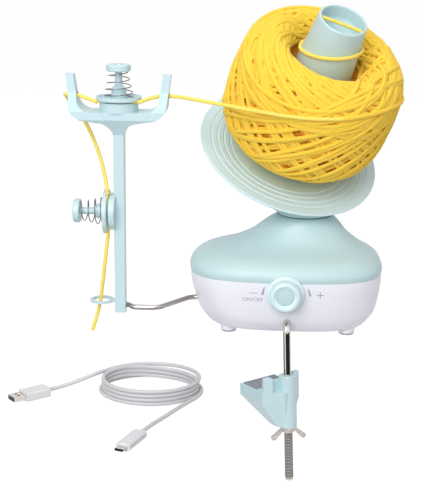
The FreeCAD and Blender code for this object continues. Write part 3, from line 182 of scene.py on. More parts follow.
def finish_piece(piece, material, body, replaced=()):
    """Material, smooth faces, the body it moves with and the nodes it stands for."""
    piece.data.materials.clear()
    piece.data.materials.append(material)
    if piece.type == "MESH":
        piece.data.shade_smooth()
    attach(piece, body)
    if replaced:
        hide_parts(*replaced)
    if piece.type == "MESH":
        print(piece.name, sum(len(face.vertices) - 2 for face in piece.data.polygons), "triangles on", body)


# %% [markdown]
# ## Curves with a life of their own: NURBS routes
# A cord or a strand of yarn is drawn as a few control points, and a NURBS spline of
# order 3 rounds them off. The order is set after the points are there: set before, it would stay at 2.

# %% Routes
def nurbs_route(name, points):
    """Curve object with one open spline; points are control points in millimetres."""
    data = bpy.data.curves.new(name, "CURVE")
    data.dimensions = "3D"
    data.resolution_u = 10
    spline = data.splines.new("NURBS")
    spline.points.add(len(points) - 1)
    for control, place in zip(spline.points, points):
        control.co = (*(Vector(place) * MM), 1.0)
    spline.order_u = 3
    spline.use_endpoint_u = True
    return put_in_scene(name, data)


def points_of(line):
    """The points of the spline itself, read back from the curve before it gets any thickness."""
    made = evaluated_mesh(line)
    points = [v.co.copy() for v in made.vertices]
    bpy.data.meshes.remove(made)
    return points


def length_of(points):
    return sum((b - a).length for a, b in zip(points, points[1:]))


# %% [markdown]
# ## Plastics
# The housing, dish, core, fork and dial are ABS, injection moulded in a spark-eroded tool: a satin skin
# with a very fine orange-peel. ABS has an IOR of about 1.54. The grain is some 0.3 mm across, too fine for
# this picture, so it is drawn at 0.8 mm with little height, and the roughness drifts a little over the part.

# %% Moulded plastic
def new_material(name, values):
    """A material with one Principled shader, and constants on the shader's own sockets."""
    material = bpy.data.materials.new(name)
    material.use_nodes = True
    tree = material.node_tree
    tree.nodes.clear()
    shader = link_node(tree, "ShaderNodeBsdfPrincipled", values)
    link_node(tree, "ShaderNodeOutputMaterial", {"Surface": shader.outputs["BSDF"]})
    return material, tree, shader


def noise(tree, size_mm, detail=3.0):
    """Noise whose blobs are about so many millimetres across, on object coordinates."""
    where = link_node(tree, "ShaderNodeTexCoord").outputs["Object"]
    return link_node(tree, "ShaderNodeTexNoise", {"Vector": where, "Scale": 1.0 / (size_mm * MM), "Detail": detail})


def spread(tree, factor, low, high):
    """A factor of 0 to 1 mapped to a range."""
    return link_node(tree, "ShaderNodeMapRange", {"Value": factor, "To Min": low, "To Max": high}).outputs[0]


def blend_colours(tree, factor, first, second):
    return link_node(tree, "ShaderNodeMix", {"Factor": factor, 6: first, 7: second}, data_type="RGBA").outputs[2]


def bump(tree, shader, height, depth_mm, strength=1.0):
    made = link_node(tree, "ShaderNodeBump", {"Height": height, "Distance": depth_mm * MM, "Strength": strength})
    tree.links.new(made.outputs["Normal"], shader.inputs["Normal"])


DRIFT_MM = 35.0       # how far apart the lighter and darker places of a moulding lie
DRIFT_ROUGH = 0.04


def moulded_plastic(name, colour, second, rough, grain_mm=0.8, depth_mm=0.02, ior=1.54):
    material, tree, shader = new_material(name, {"IOR": ior})
    drift = noise(tree, DRIFT_MM, 2.0).outputs["Fac"]
    tree.links.new(blend_colours(tree, drift, paint(colour), paint(second)), shader.inputs["Base Color"])
    tree.links.new(spread(tree, drift, rough - DRIFT_ROUGH, rough + DRIFT_ROUGH), shader.inputs["Roughness"])
    bump(tree, shader, noise(tree, grain_mm).outputs["Fac"], depth_mm)
    return material


mint_abs = moulded_plastic("mint_abs_satin_moulded", "#bad4d8", "#c1dadd", 0.42)
white_abs = moulded_plastic("white_abs_satin_moulded", "#e9e9f3", "#eeeef7", 0.34)
# The dish is the housing's mint ABS painted lighter and bluer: painted light against the ball's shadow and its
# yellow bounce.
dish_mint_painted_light = moulded_plastic("mint_abs_dish_painted_light", "#c9e2ea", "#cfe7ee", 0.58)
# The dial is the housing's mint ABS painted lighter: painted light, as on a flange lit from the front.
dial_mint_painted_light = moulded_plastic("mint_abs_dial_painted_light", "#d2e8ef", "#d8edf3", 0.36)
clear_mint = moulded_plastic("mint_abs_guide_moulded", "#c0dbe1", "#c6dfe5", 0.34)
gear_acetal = moulded_plastic("acetal_gear_moulded", "#efefe8", "#e8e8e0", 0.3, ior=1.48)
soft_foot = moulded_plastic("thermoplastic_rubber_foot", "#9a9ba0", "#8f9095", 0.7, 0.5, 0.03, 1.52)
white_vinyl = moulded_plastic("white_vinyl_cable_skin", "#d4d4d7", "#dbdbde", 0.42, 0.6, 0.02, 1.53)
plug_plastic = moulded_plastic("white_plug_overmould", "#ececee", "#e4e4e7", 0.36, 0.6, 0.02, 1.53)
# Black for the plugs' insulators, and for painted shade of the empty cavities round them.
black_nylon_and_painted_shade = moulded_plastic("black_insulator_and_painted_shade", "#1d1d1f", "#262628", 0.5, 0.5, 0.01, 1.53)
board_green = moulded_plastic("glass_epoxy_board", "#1d5c37", "#236b41", 0.4, 0.5, 0.02, 1.55)

# %% [markdown]
# ## Metals
# The clamp rod and the wing nut are steel with bright nickel plate, drawn bar and pressed sheet. The guide
# arm is duller. Metals keep the default IOR, and their colour is the reflection. Drawing leaves fine lines
# along the bar, so the noise is stretched along it. The nut is pressed, so its faces are uneven instead.

# %% Plated and plain steel
DRAWN_LINE_MM = 0.5


def metal(name, colour, rough, lines=(1.0, 1.0, 1.0), depth_mm=0.01):
    material, tree, shader = new_material(name, {"Base Color": paint(colour), "Metallic": 1.0})
    where = link_node(tree, "ShaderNodeTexCoord").outputs["Object"]
    run = link_node(tree, "ShaderNodeMapping", {"Vector": where, "Scale": lines})
    fine = 1.0 / (DRAWN_LINE_MM * MM)
    streak = link_node(tree, "ShaderNodeTexNoise", {"Vector": run.outputs[0], "Scale": fine}).outputs["Fac"]
    tree.links.new(spread(tree, streak, rough * 0.8, rough * 1.25), shader.inputs["Roughness"])
    bump(tree, shader, streak, depth_mm, 0.6)
    return material


plated_steel = metal("nickel_plated_steel", "#cfc9c4", 0.12, (1.0, 1.0, 0.08), 0.004)
nut_steel = metal("nickel_plated_pressed_nut", "#c4bfbc", 0.12, (1.0, 1.0, 1.0), 0.9)
# The thread is painted far darker than any plated steel: painted shade in its grooves and painted dark reflection.
thread_steel = metal("rolled_thread_steel_painted_dark", "#3c3633", 0.4)
drawn_arm = metal("nickel_plated_arm", "#b9b2b3", 0.3, (0.1, 1.0, 1.0), 0.01)
plain_steel = metal("drawn_plain_steel", "#b4b4b6", 0.32, (1.0, 1.0, 0.1))
spring_steel = metal("spring_steel_wire", "#86848a", 0.3)
bronze = metal("sintered_bronze", "#a8855a", 0.5)

# %% [markdown]
# ## Pad and yarn
# The clamp's pad is rubber with a coarse woven face, a dark grey with light specks, so it gets cells of
# about 1.2 mm. The yarn is soft spun acrylic, a warm yellow. What the eye reads is thousands of fibres at
# a slight angle to the strand: streaks that run round and along it, and a soft sheen at the edges. Yarn
# under newer strands is painted a warmer, darker yellow: painted shade between the strands, with painted
# light bounced from yarn to yarn.

# %% Rubber pad and yarn
def rubber_pad():
    material, tree, shader = new_material("coarse_rubber_pad", {"Roughness": 0.85})
    where = link_node(tree, "ShaderNodeTexCoord").outputs["Object"]
    cell = link_node(tree, "ShaderNodeTexVoronoi", {"Vector": where, "Scale": 1.0 / (1.2 * MM)})
    colour = blend_colours(tree, cell.outputs["Distance"], paint("#6a6a74"), paint("#b2b2bc"))
    tree.links.new(colour, shader.inputs["Base Color"])
    bump(tree, shader, cell.outputs["Distance"], 0.4)
    return material


FIBRE_MM = 0.45       # bundles of fibres that still show
FIBRE_TWIST = 200.0   # turns of a fibre round the strand in a metre
YARN_SURFACE = {"Roughness": 0.8, "Sheen Weight": 0.12, "Sheen Roughness": 0.5, "Sheen Tint": paint("#ffe9a0"),
                "Subsurface Weight": 0.15, "Subsurface Radius": (1.0, 0.7, 0.2), "Subsurface Scale": 0.0015}
FIBRE_ROUND = 1.6     # size of the ring on which the noise is read, so that it closes round the strand


def yarn_material(name, outer, deep):
    """Reads 'along' in metres, 'around' from 0 to 1 and 'deep' from 0 to 1, kept on the strand's mesh. 'deep' is
    the share of painted shade.
    """
    material, tree, shader = new_material(name, YARN_SURFACE)
    along = link_node(tree, "ShaderNodeAttribute", attribute_name="along").outputs["Fac"]
    around = link_node(tree, "ShaderNodeAttribute", attribute_name="around").outputs["Fac"]
    inside = link_node(tree, "ShaderNodeAttribute", attribute_name="deep").outputs["Fac"]
    twist = math_node(tree, "MULTIPLY", along, FIBRE_TWIST)
    turn = math_node(tree, "MULTIPLY", math_node(tree, "ADD", around, twist), 2 * math.pi)
    round_x = math_node(tree, "MULTIPLY", math_node(tree, "COSINE", turn), FIBRE_ROUND)
    round_y = math_node(tree, "MULTIPLY", math_node(tree, "SINE", turn), FIBRE_ROUND)
    run = math_node(tree, "MULTIPLY", along, 1.0 / (4.0 * FIBRE_MM * MM))
    place = link_node(tree, "ShaderNodeCombineXYZ", {"X": round_x, "Y": round_y, "Z": run}).outputs[0]
    fibre = link_node(tree, "ShaderNodeTexNoise", {"Vector": place, "Scale": 1.0, "Detail": 3.0}).outputs["Fac"]
    lit = blend_colours(tree, fibre, paint(outer[0]), paint(outer[1]))
    # Painted shade: the higher 'deep' is, the more of the darker yellow of the gaps between strands.
    tree.links.new(blend_colours(tree, inside, lit, paint(deep)), shader.inputs["Base Color"])
    bump(tree, shader, fibre, 0.25, 0.7)
    return material


pad_rubber = rubber_pad()
# The third colour of each yarn is its painted shade, for yarn lying between and under strands.
ball_yarn = yarn_material("spun_acrylic_yarn_wound", ("#fec72a", "#ffdd52"), "#e89414")
free_yarn = yarn_material("spun_acrylic_yarn_free", ("#f9da52", "#fde87c"), "#eaba33")
print("materials", len(bpy.data.materials))

# %% [markdown]
# ## Finishes for the parts that stay as they are
# Each part of the frame says in the record which slot its finish belongs to. The table below gives a slot
# its material, and a few parts get their own.

# %% Finish the frame's parts
SLOT_FINISH = {
    "mint_abs": mint_abs, "white_abs": white_abs, "soft_foot": soft_foot, "pad_rubber": pad_rubber,
    "plated_steel": plated_steel, "plain_steel": plain_steel, "spring_steel": spring_steel,
    "gear_acetal": gear_acetal, "bronze_bush": bronze, "circuit_board": board_green,
    "yarn_yellow": ball_yarn, "white_cable": plug_plastic,
}
OWN_FINISH = {
    "bobbin_plate": dish_mint_painted_light, "dial_knob": dial_mint_painted_light, "wing_nut": nut_steel, "guide_arm": drawn_arm,
    "guide_post": clear_mint, "eye_ring": clear_mint, "upper_cup": clear_mint, "lower_cup": clear_mint,
    "upper_knob": clear_mint, "lower_knob": clear_mint, "clamp_jaw": clear_mint,
}


def finish_frame():
    slots = {part["node"]: part["material_slot"] for part in frame["record"]["subparts"]}
    for name, thing in nodes.items():
        material = OWN_FINISH.get(name) or SLOT_FINISH[slots[name]]
        thing.data.materials.clear()
        thing.data.materials.append(material)
    print("finished", len(nodes), "frame parts")


finish_frame()

# %% [markdown]
# ## The lead
# A white lead 3.6 mm thick joins a wide plug and a small one. Most of it lies in a neat coil of four turns
# on the table beside the winder. One spline runs from plug to plug: a few given points at each end, and
# for the coil a loop that works out more than a dozen points a turn. Each turn lies a cord lower than the
# last, so it steps down once a turn, where the upper turn starts to lie on the one below. Each plug's metal
# shell is open, and a black block fills its mouth: partly the insulator, partly painted shade of the cavity.

# %% Lead
CORD_D = 3.6
FLOOR_Z = -109.6
CORD_Z = FLOOR_Z + CORD_D / 2
COIL_X = -136.5
COIL_Y = 122.6
COIL_RX = 43.7
COIL_RY = 36.5
COIL_LAYERS = 4
COIL_QUARTERS = 18
COIL_PITCH = 3.75
COIL_START = 145.0
COIL_SWEEP = 1610.0
POINTS_A_QUARTER = 5
WIDE_PLUG = Vector((-227.5, 109.0, FLOOR_Z + 4.1))
WIDE_WAY = Vector((0.756, 0.654, 0.0)).normalized()
SMALL_PLUG = Vector((-131.5, 19.4, FLOOR_Z + 3.5))
SMALL_WAY = Vector((0.33, 0.944, 0.0)).normalized()
STIFF_END = 14.0      # how far the lead runs straight on from a plug
# Blocks in the plugs' mouths: the insulator, and painted shade of the empty cavity round it.
PLUG_MOUTH_BLOCKS = (        # name, where the lead leaves the plug, its way, then face, width, height and depth
    ("wide_plug_insulator_and_shade", WIDE_PLUG, WIDE_WAY, 38.6, 11.3, 3.8, 9.0),
    ("small_plug_insulator_and_shade", SMALL_PLUG, SMALL_WAY, 41.2, 7.0, 1.5, 4.4),
)
INSULATOR_EDGE = 0.15


def ease(f):
    f = min(1.0, max(0.0, f))
    return f * f * (3 - 2 * f)


def coil_point(quarter):
    """Point of the coil after so many quarter turns."""
    angle = math.radians(COIL_START - quarter * COIL_SWEEP / COIL_QUARTERS)
    top = COIL_LAYERS - 1
    loop = min(int(quarter // 4), COIL_LAYERS)
    drop = ease(quarter - 4 * loop) if 0 < loop <= top else 0.0
    level = min(top, max(0, loop - 1) + drop)
    out = COIL_PITCH * (1 - ease(quarter - 1) + ease(quarter - 4 * COIL_LAYERS + 1))
    return Vector((COIL_X + (COIL_RX + out) * math.cos(angle), COIL_Y + (COIL_RY + out) * math.sin(angle),
                   CORD_Z + COIL_PITCH * (top - level)))


def make_plug_mouth_block(name, exit_at, way, face, width, height, deep):
    """Black block with bevelled edges inside a plug's shell: the insulator, and painted shade of the cavity round
    it; face is how far its front lies from the exit.
    """
    across = Vector((way.y, -way.x, 0.0))
    up = Vector((0.0, 0.0, 1.0))
    front = exit_at - way * face
    shape = bmesh.new()
    corners = [[shape.verts.new((front + way * far + across * (width / 2 * a) + up * (height / 2 * b)) * MM)
                for a, b in ((-1, -1), (1, -1), (1, 1), (-1, 1))] for far in (0.0, deep)]
    shape.faces.new(corners[0])
    shape.faces.new(corners[1][::-1])
    for i in range(4):
        j = (i + 1) % 4
        shape.faces.new((corners[0][i], corners[1][i], corners[1][j], corners[0][j]))
    bmesh.ops.bevel(shape, geom=list(shape.edges), offset=INSULATOR_EDGE * MM, segments=2, affect="EDGES")
    bmesh.ops.recalc_face_normals(shape, faces=shape.faces)
    finish_piece(put_in_scene(name, mesh_from(shape, name)), black_nylon_and_painted_shade, "base")


def make_lead():
    first = coil_point(0.0)
    first_way = (coil_point(0.001) - first).normalized()
    last = coil_point(float(COIL_QUARTERS))
    last_way = (last - coil_point(COIL_QUARTERS - 0.001)).normalized()
    points = [WIDE_PLUG, WIDE_PLUG + WIDE_WAY * STIFF_END, Vector((-203.2, 123.0, CORD_Z + 6.4)),
              first - first_way * (CORD_D + 17.0), first - first_way * CORD_D]
    steps = COIL_QUARTERS * POINTS_A_QUARTER
    points += [coil_point(i / POINTS_A_QUARTER) for i in range(steps + 1)]
    points += [last + last_way * CORD_D, Vector((-106.0, 82.2, CORD_Z)), Vector((-117.4, 56.6, CORD_Z)),
               SMALL_PLUG + SMALL_WAY * STIFF_END, SMALL_PLUG]
    lead = nurbs_route("usb_lead", points)
    length = length_of(points_of(lead))
    lead.data.bevel_depth = CORD_D / 2 * MM
    lead.data.bevel_resolution = 4
    lead.data.use_fill_caps = True
    finish_piece(lead, white_vinyl, "base", ("usb_cord_a", "usb_coil", "usb_cord_c"))
    for insulator in PLUG_MOUTH_BLOCKS:
        make_plug_mouth_block(*insulator)
    print("lead", round(length, 3), "m")


make_lead()

# %% [markdown]
# ## A strand of yarn
# A strand follows its spline, and Geometry Nodes give it its body: an ellipse swept along the curve, since
# soft yarn flattens. The tree keeps two numbers on the mesh for the material: how far along the strand a
# point is, and where it is round it.

# %% Strand tree
YARN_D = 2.8


def new_tree(name, numbers):
    """Geometry tree with a Geometry input and output and named number inputs."""
    tree = bpy.data.node_groups.new(name, "GeometryNodeTree")
    tree.interface.new_socket("Geometry", in_out="INPUT", socket_type="NodeSocketGeometry")
    for label, value in numbers.items():
        kind = "NodeSocketInt" if isinstance(value, int) else "NodeSocketFloat"
        socket = tree.interface.new_socket(label, in_out="INPUT", socket_type=kind)
        socket.default_value = value
    tree.interface.new_socket("Material", in_out="INPUT", socket_type="NodeSocketMaterial")
    tree.interface.new_socket("Geometry", in_out="OUTPUT", socket_type="NodeSocketGeometry")
    given = link_node(tree, "NodeGroupInput")
    return tree, given.outputs


def keep_number(tree, geometry, name, value):
    """Stores a number on the points of a geometry."""
    made = link_node(tree, "GeometryNodeStoreNamedAttribute",
                     {"Geometry": geometry, "Name": name, "Value": value}, data_type="FLOAT", domain="POINT")
    return made.outputs["Geometry"]


def sweep_strand(tree, rail, width, thick, sides):
    """Ellipse of that size swept along a rail, with 'around' kept on it."""
    ring = link_node(tree, "GeometryNodeCurvePrimitiveCircle", {"Resolution": sides, "Radius": 0.5})
    size = link_node(tree, "ShaderNodeCombineXYZ", {"X": width, "Y": thick, "Z": 1.0}).outputs[0]
    oval = link_node(tree, "GeometryNodeTransform", {"Geometry": ring.outputs["Curve"], "Scale": size})
    factor = link_node(tree, "GeometryNodeSplineParameter").outputs["Factor"]
    oval = keep_number(tree, oval.outputs["Geometry"], "around", factor)
    swept = link_node(tree, "GeometryNodeCurveToMesh", {"Curve": rail, "Profile Curve": oval, "Fill Caps": True})
    return swept.outputs["Mesh"]


def close_tree(tree, geometry, material):
    """The last steps of every tree: real instances and the material."""
    real = link_node(tree, "GeometryNodeRealizeInstances", {"Geometry": geometry}).outputs["Geometry"]
    done = link_node(tree, "GeometryNodeSetMaterial", {"Geometry": real, "Material": material})
    link_node(tree, "NodeGroupOutput", {"Geometry": done.outputs["Geometry"]})


def strand_tree():
    tree, given = new_tree("yarn strand", {"Width": YARN_D * MM, "Thickness": YARN_D * MM, "Sides": 12})
    length = link_node(tree, "GeometryNodeSplineParameter").outputs["Length"]
    rail = keep_number(tree, given["Geometry"], "along", length)
    body = sweep_strand(tree, rail, given["Width"], given["Thickness"], given["Sides"])
    close_tree(tree, body, given["Material"])
    return tree


def run_tree(thing, tree, values):
    """Puts a tree on an object and sets its inputs by their identifiers."""
    modifier = thing.modifiers.new(tree.name, "NODES")
    modifier.node_group = tree
    for socket in tree.interface.items_tree:
        if socket.in_out == "INPUT" and socket.name in values:
            modifier[socket.identifier] = values[socket.name]


strand_nodes = strand_tree()


def make_strand(name, points, replaced, body="post", width=YARN_D, thick=YARN_D):
    """A strand along given points, in millimetres. Gives back the piece and its centreline."""
    line = nurbs_route(name + "_route", points)
    centre = points_of(line)
    run_tree(line, strand_nodes, {"Width": width * MM, "Thickness": thick * MM, "Material": free_yarn})
    piece = plain_mesh(line, name)
    finish_piece(piece, free_yarn, body, replaced)
    return piece, centre


# %% [markdown]
# ## Yarn from the tail to the ball
# The yarn comes up through the eye ring, is nipped by the lower tension disc, slants up behind the fork and
# round its left prong, is nipped again and leaves by the right prong. Between the discs it is pressed flat.

# %% Feed yarn
NIP = 0.7             # what is left of the strand's thickness between the discs
NIP_WIDE = 4.0
LOW_X = -147.65
NIP_LOW = 77.0
NIP_HIGH = 112.8
NIP_LAP = 3.2         # how far a strand's round end reaches between the discs
TOP_Z = 178.1


def declare(piece, centre, far_end, lay):
    print(piece.name, "cord", round(length_of(centre) / MM, 1), "mm")


def make_feed():
    tail = [(LOW_X, -45.9, NIP_LOW + NIP_LAP), (-150.65, -44.5, 57.0), (-155.5, -37.5, 24.2),
            (-158.3, -38.6, 12.5), (-161.9, -40.2, 1.2)]
    declare(*make_strand("yarn_tail_strand", tail, ("yarn_tail",)), "bare", "hanging")
    rise = [(LOW_X, -45.9, NIP_HIGH - NIP_LAP), (-150.65, -40.5, 126.8), (-162.9, -21.5, 151.0),
            (-172.9, -20.1, 168.0), (-179.6, -24.9, 176.8), (-180.4, -30.5, 181.2), (-180.4, -37.5, 182.6),
            (-169.8, -37.5, 182.6), (-155.0, -45.1, TOP_Z)]
    declare(*make_strand("yarn_rise_strand", rise, ("yarn_rise",)), "object", "taut")
    low_nip = [(LOW_X, -46.0, NIP_LOW), (LOW_X, -46.9, 95.0), (LOW_X, -46.0, NIP_HIGH)]
    make_strand("yarn_in_lower_disc", low_nip, ("yarn_nip_low",), width=NIP, thick=NIP_WIDE)
    top_nip = [(-157.4, -45.1, TOP_Z), (-139.9, -46.2, TOP_Z), (-122.4, -45.1, TOP_Z)]
    make_strand("yarn_in_upper_disc", top_nip, ("yarn_nip_high",), width=NIP_WIDE, thick=NIP)


make_feed()

# %% [markdown]
# ## The axle of the bobbin
# The dish, the core and the ball turn about one leaning axle. The frame's joint says where it is, so the
# ball needs no angle of its own: its local Z is the axle and its local X lies level.

# %% Axle
axle = joints["bobbin_spin"]
AXLE = Vector(axle["axis"]).normalized()
DISH_AT = Vector(axle["pos_m"])
LEVEL = Vector((-AXLE.y, AXLE.x, 0.0)).normalized()
BALL_FRAME = Matrix.Translation(DISH_AT) @ Matrix((LEVEL, AXLE.cross(LEVEL), AXLE)).transposed().to_4x4()
print("axle leans", round(math.degrees(AXLE.angle(Vector((0, 0, 1)))), 1), "degrees")

# %% [markdown]
# ## The strand that runs to the ball
# It leaves the upper disc, goes through the eye of the prong, is pulled straight to the ball's flank and
# then lies round its front. The last points lie on a circle about the ball's middle, a formula with the
# same radius as the frame's strand, a little lower, because wound yarn gives way.

# %% Span
BALL_MID = 60.0
FORK_EYE = Vector((-98.4, -37.5, 182.6))
TOUCH = Vector((-23.04, -68.18, 174.27))
LAP_END = Vector((24.0, -69.99, 172.0))
LAP_POINTS = 5
SINK = 0.8


def make_span():
    centre = DISH_AT / MM + AXLE * BALL_MID
    start = TOUCH - centre
    stop = LAP_END - centre
    normal = start.cross(stop).normalized()
    sweep = start.angle(stop)
    points = [Vector((-124.8, -45.1, TOP_Z)), Vector((-113.0, -37.7, 182.4)), FORK_EYE,
              FORK_EYE.lerp(TOUCH, 0.3), FORK_EYE.lerp(TOUCH, 0.75)]
    for i in range(LAP_POINTS + 1):
        f = i / LAP_POINTS
        arm = Matrix.Rotation(sweep * f, 3, normal) @ start
        points.append(centre + arm * (1 - SINK * f / arm.length))
    piece, line = make_strand("yarn_span_strand", points, ("yarn_lead", "yarn_span"))
    declare(piece, line, "object", "taut")
    return line[-1], (line[-1] - line[-2]).normalized()


lap_at, lap_way = make_span()

# %% [markdown]
# ## The wound ball
# A winder lays one endless strand. Each turn is a tilted loop, high on one side of the ball and low on the
# other. Every loop's high side leaps a little further round than the last one's, so that old loops are
# crossed by new ones. That is a rule, so the ball is made by Geometry Nodes, and not strand by strand.

# %% Ball profile
BALL_PROFILE = [(33.0, 2.6), (40.0, 8.5), (55.8, 18.6), (62.2, 30.3), (64.0, 45.0), (64.0, 60.0),
                (63.3, 75.0), (60.5, 87.5), (55.6, 95.2), (47.2, 101.0), (42.5, 103.0), (36.5, 101.0),
                (30.5, 94.5), (27.0, 85.0)]


def profile_curve(name):
    """The ball's outline from the dish to the mouth, radius along X and height along Z, for strand centres."""
    data = bpy.data.curves.new(name, "CURVE")
    data.dimensions = "3D"
    data.resolution_u = 16
    spline = data.splines.new("BEZIER")
    spline.bezier_points.add(len(BALL_PROFILE) - 1)
    for point, (radius, height) in zip(spline.bezier_points, BALL_PROFILE):
        point.co = (radius * MM, 0.0, height * MM)
        point.handle_left_type = "AUTO"
        point.handle_right_type = "AUTO"
    return put_in_scene(name, data)


def profile_points():
    """Points along the outline, as the winding tree reads it."""
    profile = profile_curve("measure")
    line = [v.co.copy() for v in bpy.data.meshes.new_from_object(profile).vertices]
    bpy.data.objects.remove(profile)
    return line


# %% [markdown]
# The tree starts from a line of points, where a point's number alone says how far round, how high and how
# deep it lies. The height is looked up on the profile curve, which is the modifier's own object: 0 is the
# dish and 1 is down in the mouth. Heights, depths and places in the loop drift a little, since a strand is
# never laid twice in the same way. Turn number zero is the newest and lies outermost.

# %% Winding tree
BALL_VALUES = {
    "Turns": 166, "Turns a Layer": 48.0, "Points a Turn": 72, "Leap": 1.0 / 48.0, "Middle": 0.46, "Swing": 0.32,
    "First Swing": 0.25, "Swing Grows Over": 7.0, "Mouth Reach": 0.11, "Mouth Spread": 0.5,
    "Layer Growth": 2.2 * MM, "Strand Width": 3.6 * MM, "Strand Thickness": 2.5 * MM, "Sides": 7,
    "Start Angle": 0.0, "Start Phase": 0.0, "Start Lift": 1.0 * MM, "Wander": 1.0, "Seed": 4.0,
}
# A drift: how much of the noise it runs over in one turn, where on the noise it starts, and how far it goes.
LOOP_DRIFT = (1.3, 0.0, 0.6)
HEIGHT_DRIFT = (1.7, 40.0, 0.13)
DEPTH_DRIFT = (9.0, 90.0, 1.8 * MM)
REACH_DRIFT = (0.9, 17.0)
# Painted shade: turns under newer ones take the darker yellow, from the first to the second of these depths.
PAINTED_SHADE_FROM = 0.9       # layers under the newest where the yarn's colour starts to deepen
PAINTED_SHADE_TO = 2.6


def winding_tree():
    tree, given = new_tree("wound ball", BALL_VALUES)

    def calc(operation, *values):
        return math_node(tree, operation, *values)

    total = calc("MULTIPLY", given["Turns"], given["Points a Turn"])
    line = link_node(tree, "GeometryNodeCurvePrimitiveLine", {"End": (1.0, 0.0, 0.0)})
    rail = link_node(tree, "GeometryNodeResampleCurve", {"Curve": line.outputs["Curve"], "Count": total})
    index = link_node(tree, "GeometryNodeInputIndex").outputs["Index"]
    turn = calc("DIVIDE", index, given["Points a Turn"])

    def wander(rate, offset, amount):
        """A slow drift along the strand, centred on zero."""
        start = calc("ADD", given["Seed"], offset)
        at = calc("ADD", calc("MULTIPLY", turn, rate), start)
        drift = link_node(tree, "ShaderNodeTexNoise", {"W": at, "Scale": 1.0, "Detail": 1.0}, noise_dimensions="1D")
        centred = calc("SUBTRACT", drift.outputs[0], 0.5)
        return calc("MULTIPLY", calc("MULTIPLY", centred, amount), given["Wander"])

    angle = calc("MULTIPLY", turn, 2 * math.pi)
    lag = calc("MULTIPLY", angle, given["Leap"])      # a loop's high side moves on by this share of a turn
    begin = calc("MINIMUM", turn, 1.0)
    phase = calc("ADD", calc("SUBTRACT", angle, lag), given["Start Phase"])
    phase = calc("ADD", phase, calc("MULTIPLY", wander(*LOOP_DRIFT), begin))
    swing = link_node(tree, "ShaderNodeMapRange",
                      {"Value": turn, "From Max": given["Swing Grows Over"], "To Min": given["First Swing"],
                       "To Max": given["Swing"]}, interpolation_type="SMOOTHSTEP").outputs[0]
    side = calc("COSINE", phase)
    wave = calc("MULTIPLY", side, swing)
    top = calc("MULTIPLY", side, calc("ABSOLUTE", side))
    reach = calc("ADD", wander(*REACH_DRIFT, given["Mouth Spread"]), given["Mouth Reach"])
    reach = calc("MULTIPLY", calc("MULTIPLY", top, reach), begin)
    high = calc("ADD", calc("ADD", given["Middle"], wave), reach)
    high = calc("ADD", high, calc("MULTIPLY", wander(*HEIGHT_DRIFT), begin))
    spot = link_node(tree, "GeometryNodeSampleCurve", {"Curves": given["Geometry"], "Factor": high}, mode="FACTOR",
                     use_all_curves=True)
    at = link_node(tree, "ShaderNodeSeparateXYZ", {"Vector": spot.outputs["Position"]})
    way = link_node(tree, "ShaderNodeSeparateXYZ", {"Vector": spot.outputs["Tangent"]})

    layer = calc("DIVIDE", turn, given["Turns a Layer"])
    sunk = calc("MULTIPLY", layer, given["Layer Growth"])
    start_lift = calc("MULTIPLY", calc("SUBTRACT", 1.0, begin), given["Start Lift"])
    rise = calc("SUBTRACT", start_lift, sunk)
    rise = calc("ADD", rise, calc("MULTIPLY", wander(*DEPTH_DRIFT), begin))
    radius = calc("ADD", at.outputs["X"], calc("MULTIPLY", way.outputs["Z"], rise))
    height = calc("SUBTRACT", at.outputs["Z"], calc("MULTIPLY", way.outputs["X"], rise))

    round_at = calc("ADD", angle, given["Start Angle"])

    def turned(out, up):
        """A vector with so much away from the axle, at the point's own angle, and so much along it."""
        x = calc("MULTIPLY", out, calc("COSINE", round_at))
        y = calc("MULTIPLY", out, calc("SINE", round_at))
        return link_node(tree, "ShaderNodeCombineXYZ", {"X": x, "Y": y, "Z": up}).outputs[0]

    place = turned(radius, height)
    laid = link_node(tree, "GeometryNodeSetPosition", {"Geometry": rail.outputs["Curve"], "Position": place})
    outward = turned(way.outputs["Z"], calc("MULTIPLY", way.outputs["X"], -1.0))
    laid = link_node(tree, "GeometryNodeSetCurveNormal", {"Curve": laid.outputs["Geometry"], "Normal": outward},
                     mode="FREE").outputs["Curve"]
    # Painted shade for the older turns, kept as 'deep' for the yarn's material.
    inside = link_node(tree, "ShaderNodeMapRange",
                       {"Value": layer, "From Min": PAINTED_SHADE_FROM, "From Max": PAINTED_SHADE_TO}).outputs[0]
    length = link_node(tree, "GeometryNodeSplineParameter").outputs["Length"]
    rail = keep_number(tree, laid, "along", length)
    rail = keep_number(tree, rail, "deep", inside)
    body = sweep_strand(tree, rail, given["Strand Thickness"], given["Strand Width"], given["Sides"])
    close_tree(tree, body, given["Material"])
    return tree


# %% [markdown]
# The newest turn has to take over the strand's end in the strand's own direction. In the ball's frame that
# end has an angle round the axle and a nearest point on the profile, and its direction says how fast the loop
# climbs there. A cosine has one phase and one swing with that height and that slope, so both are worked out.
# Near the mouth the loops lie flatter and closer, so the same tree lays a second, shorter winding there.

# %% Wind the ball
MOUTH_VALUES = {
    "Turns": 56, "Turns a Layer": 28.0, "Leap": 1.0 / 28.0, "Middle": 0.76, "Swing": 0.11, "First Swing": 0.11,
    "Mouth Reach": 0.09, "Mouth Spread": 0.35, "Wander": 0.55, "Seed": 11.0,
}


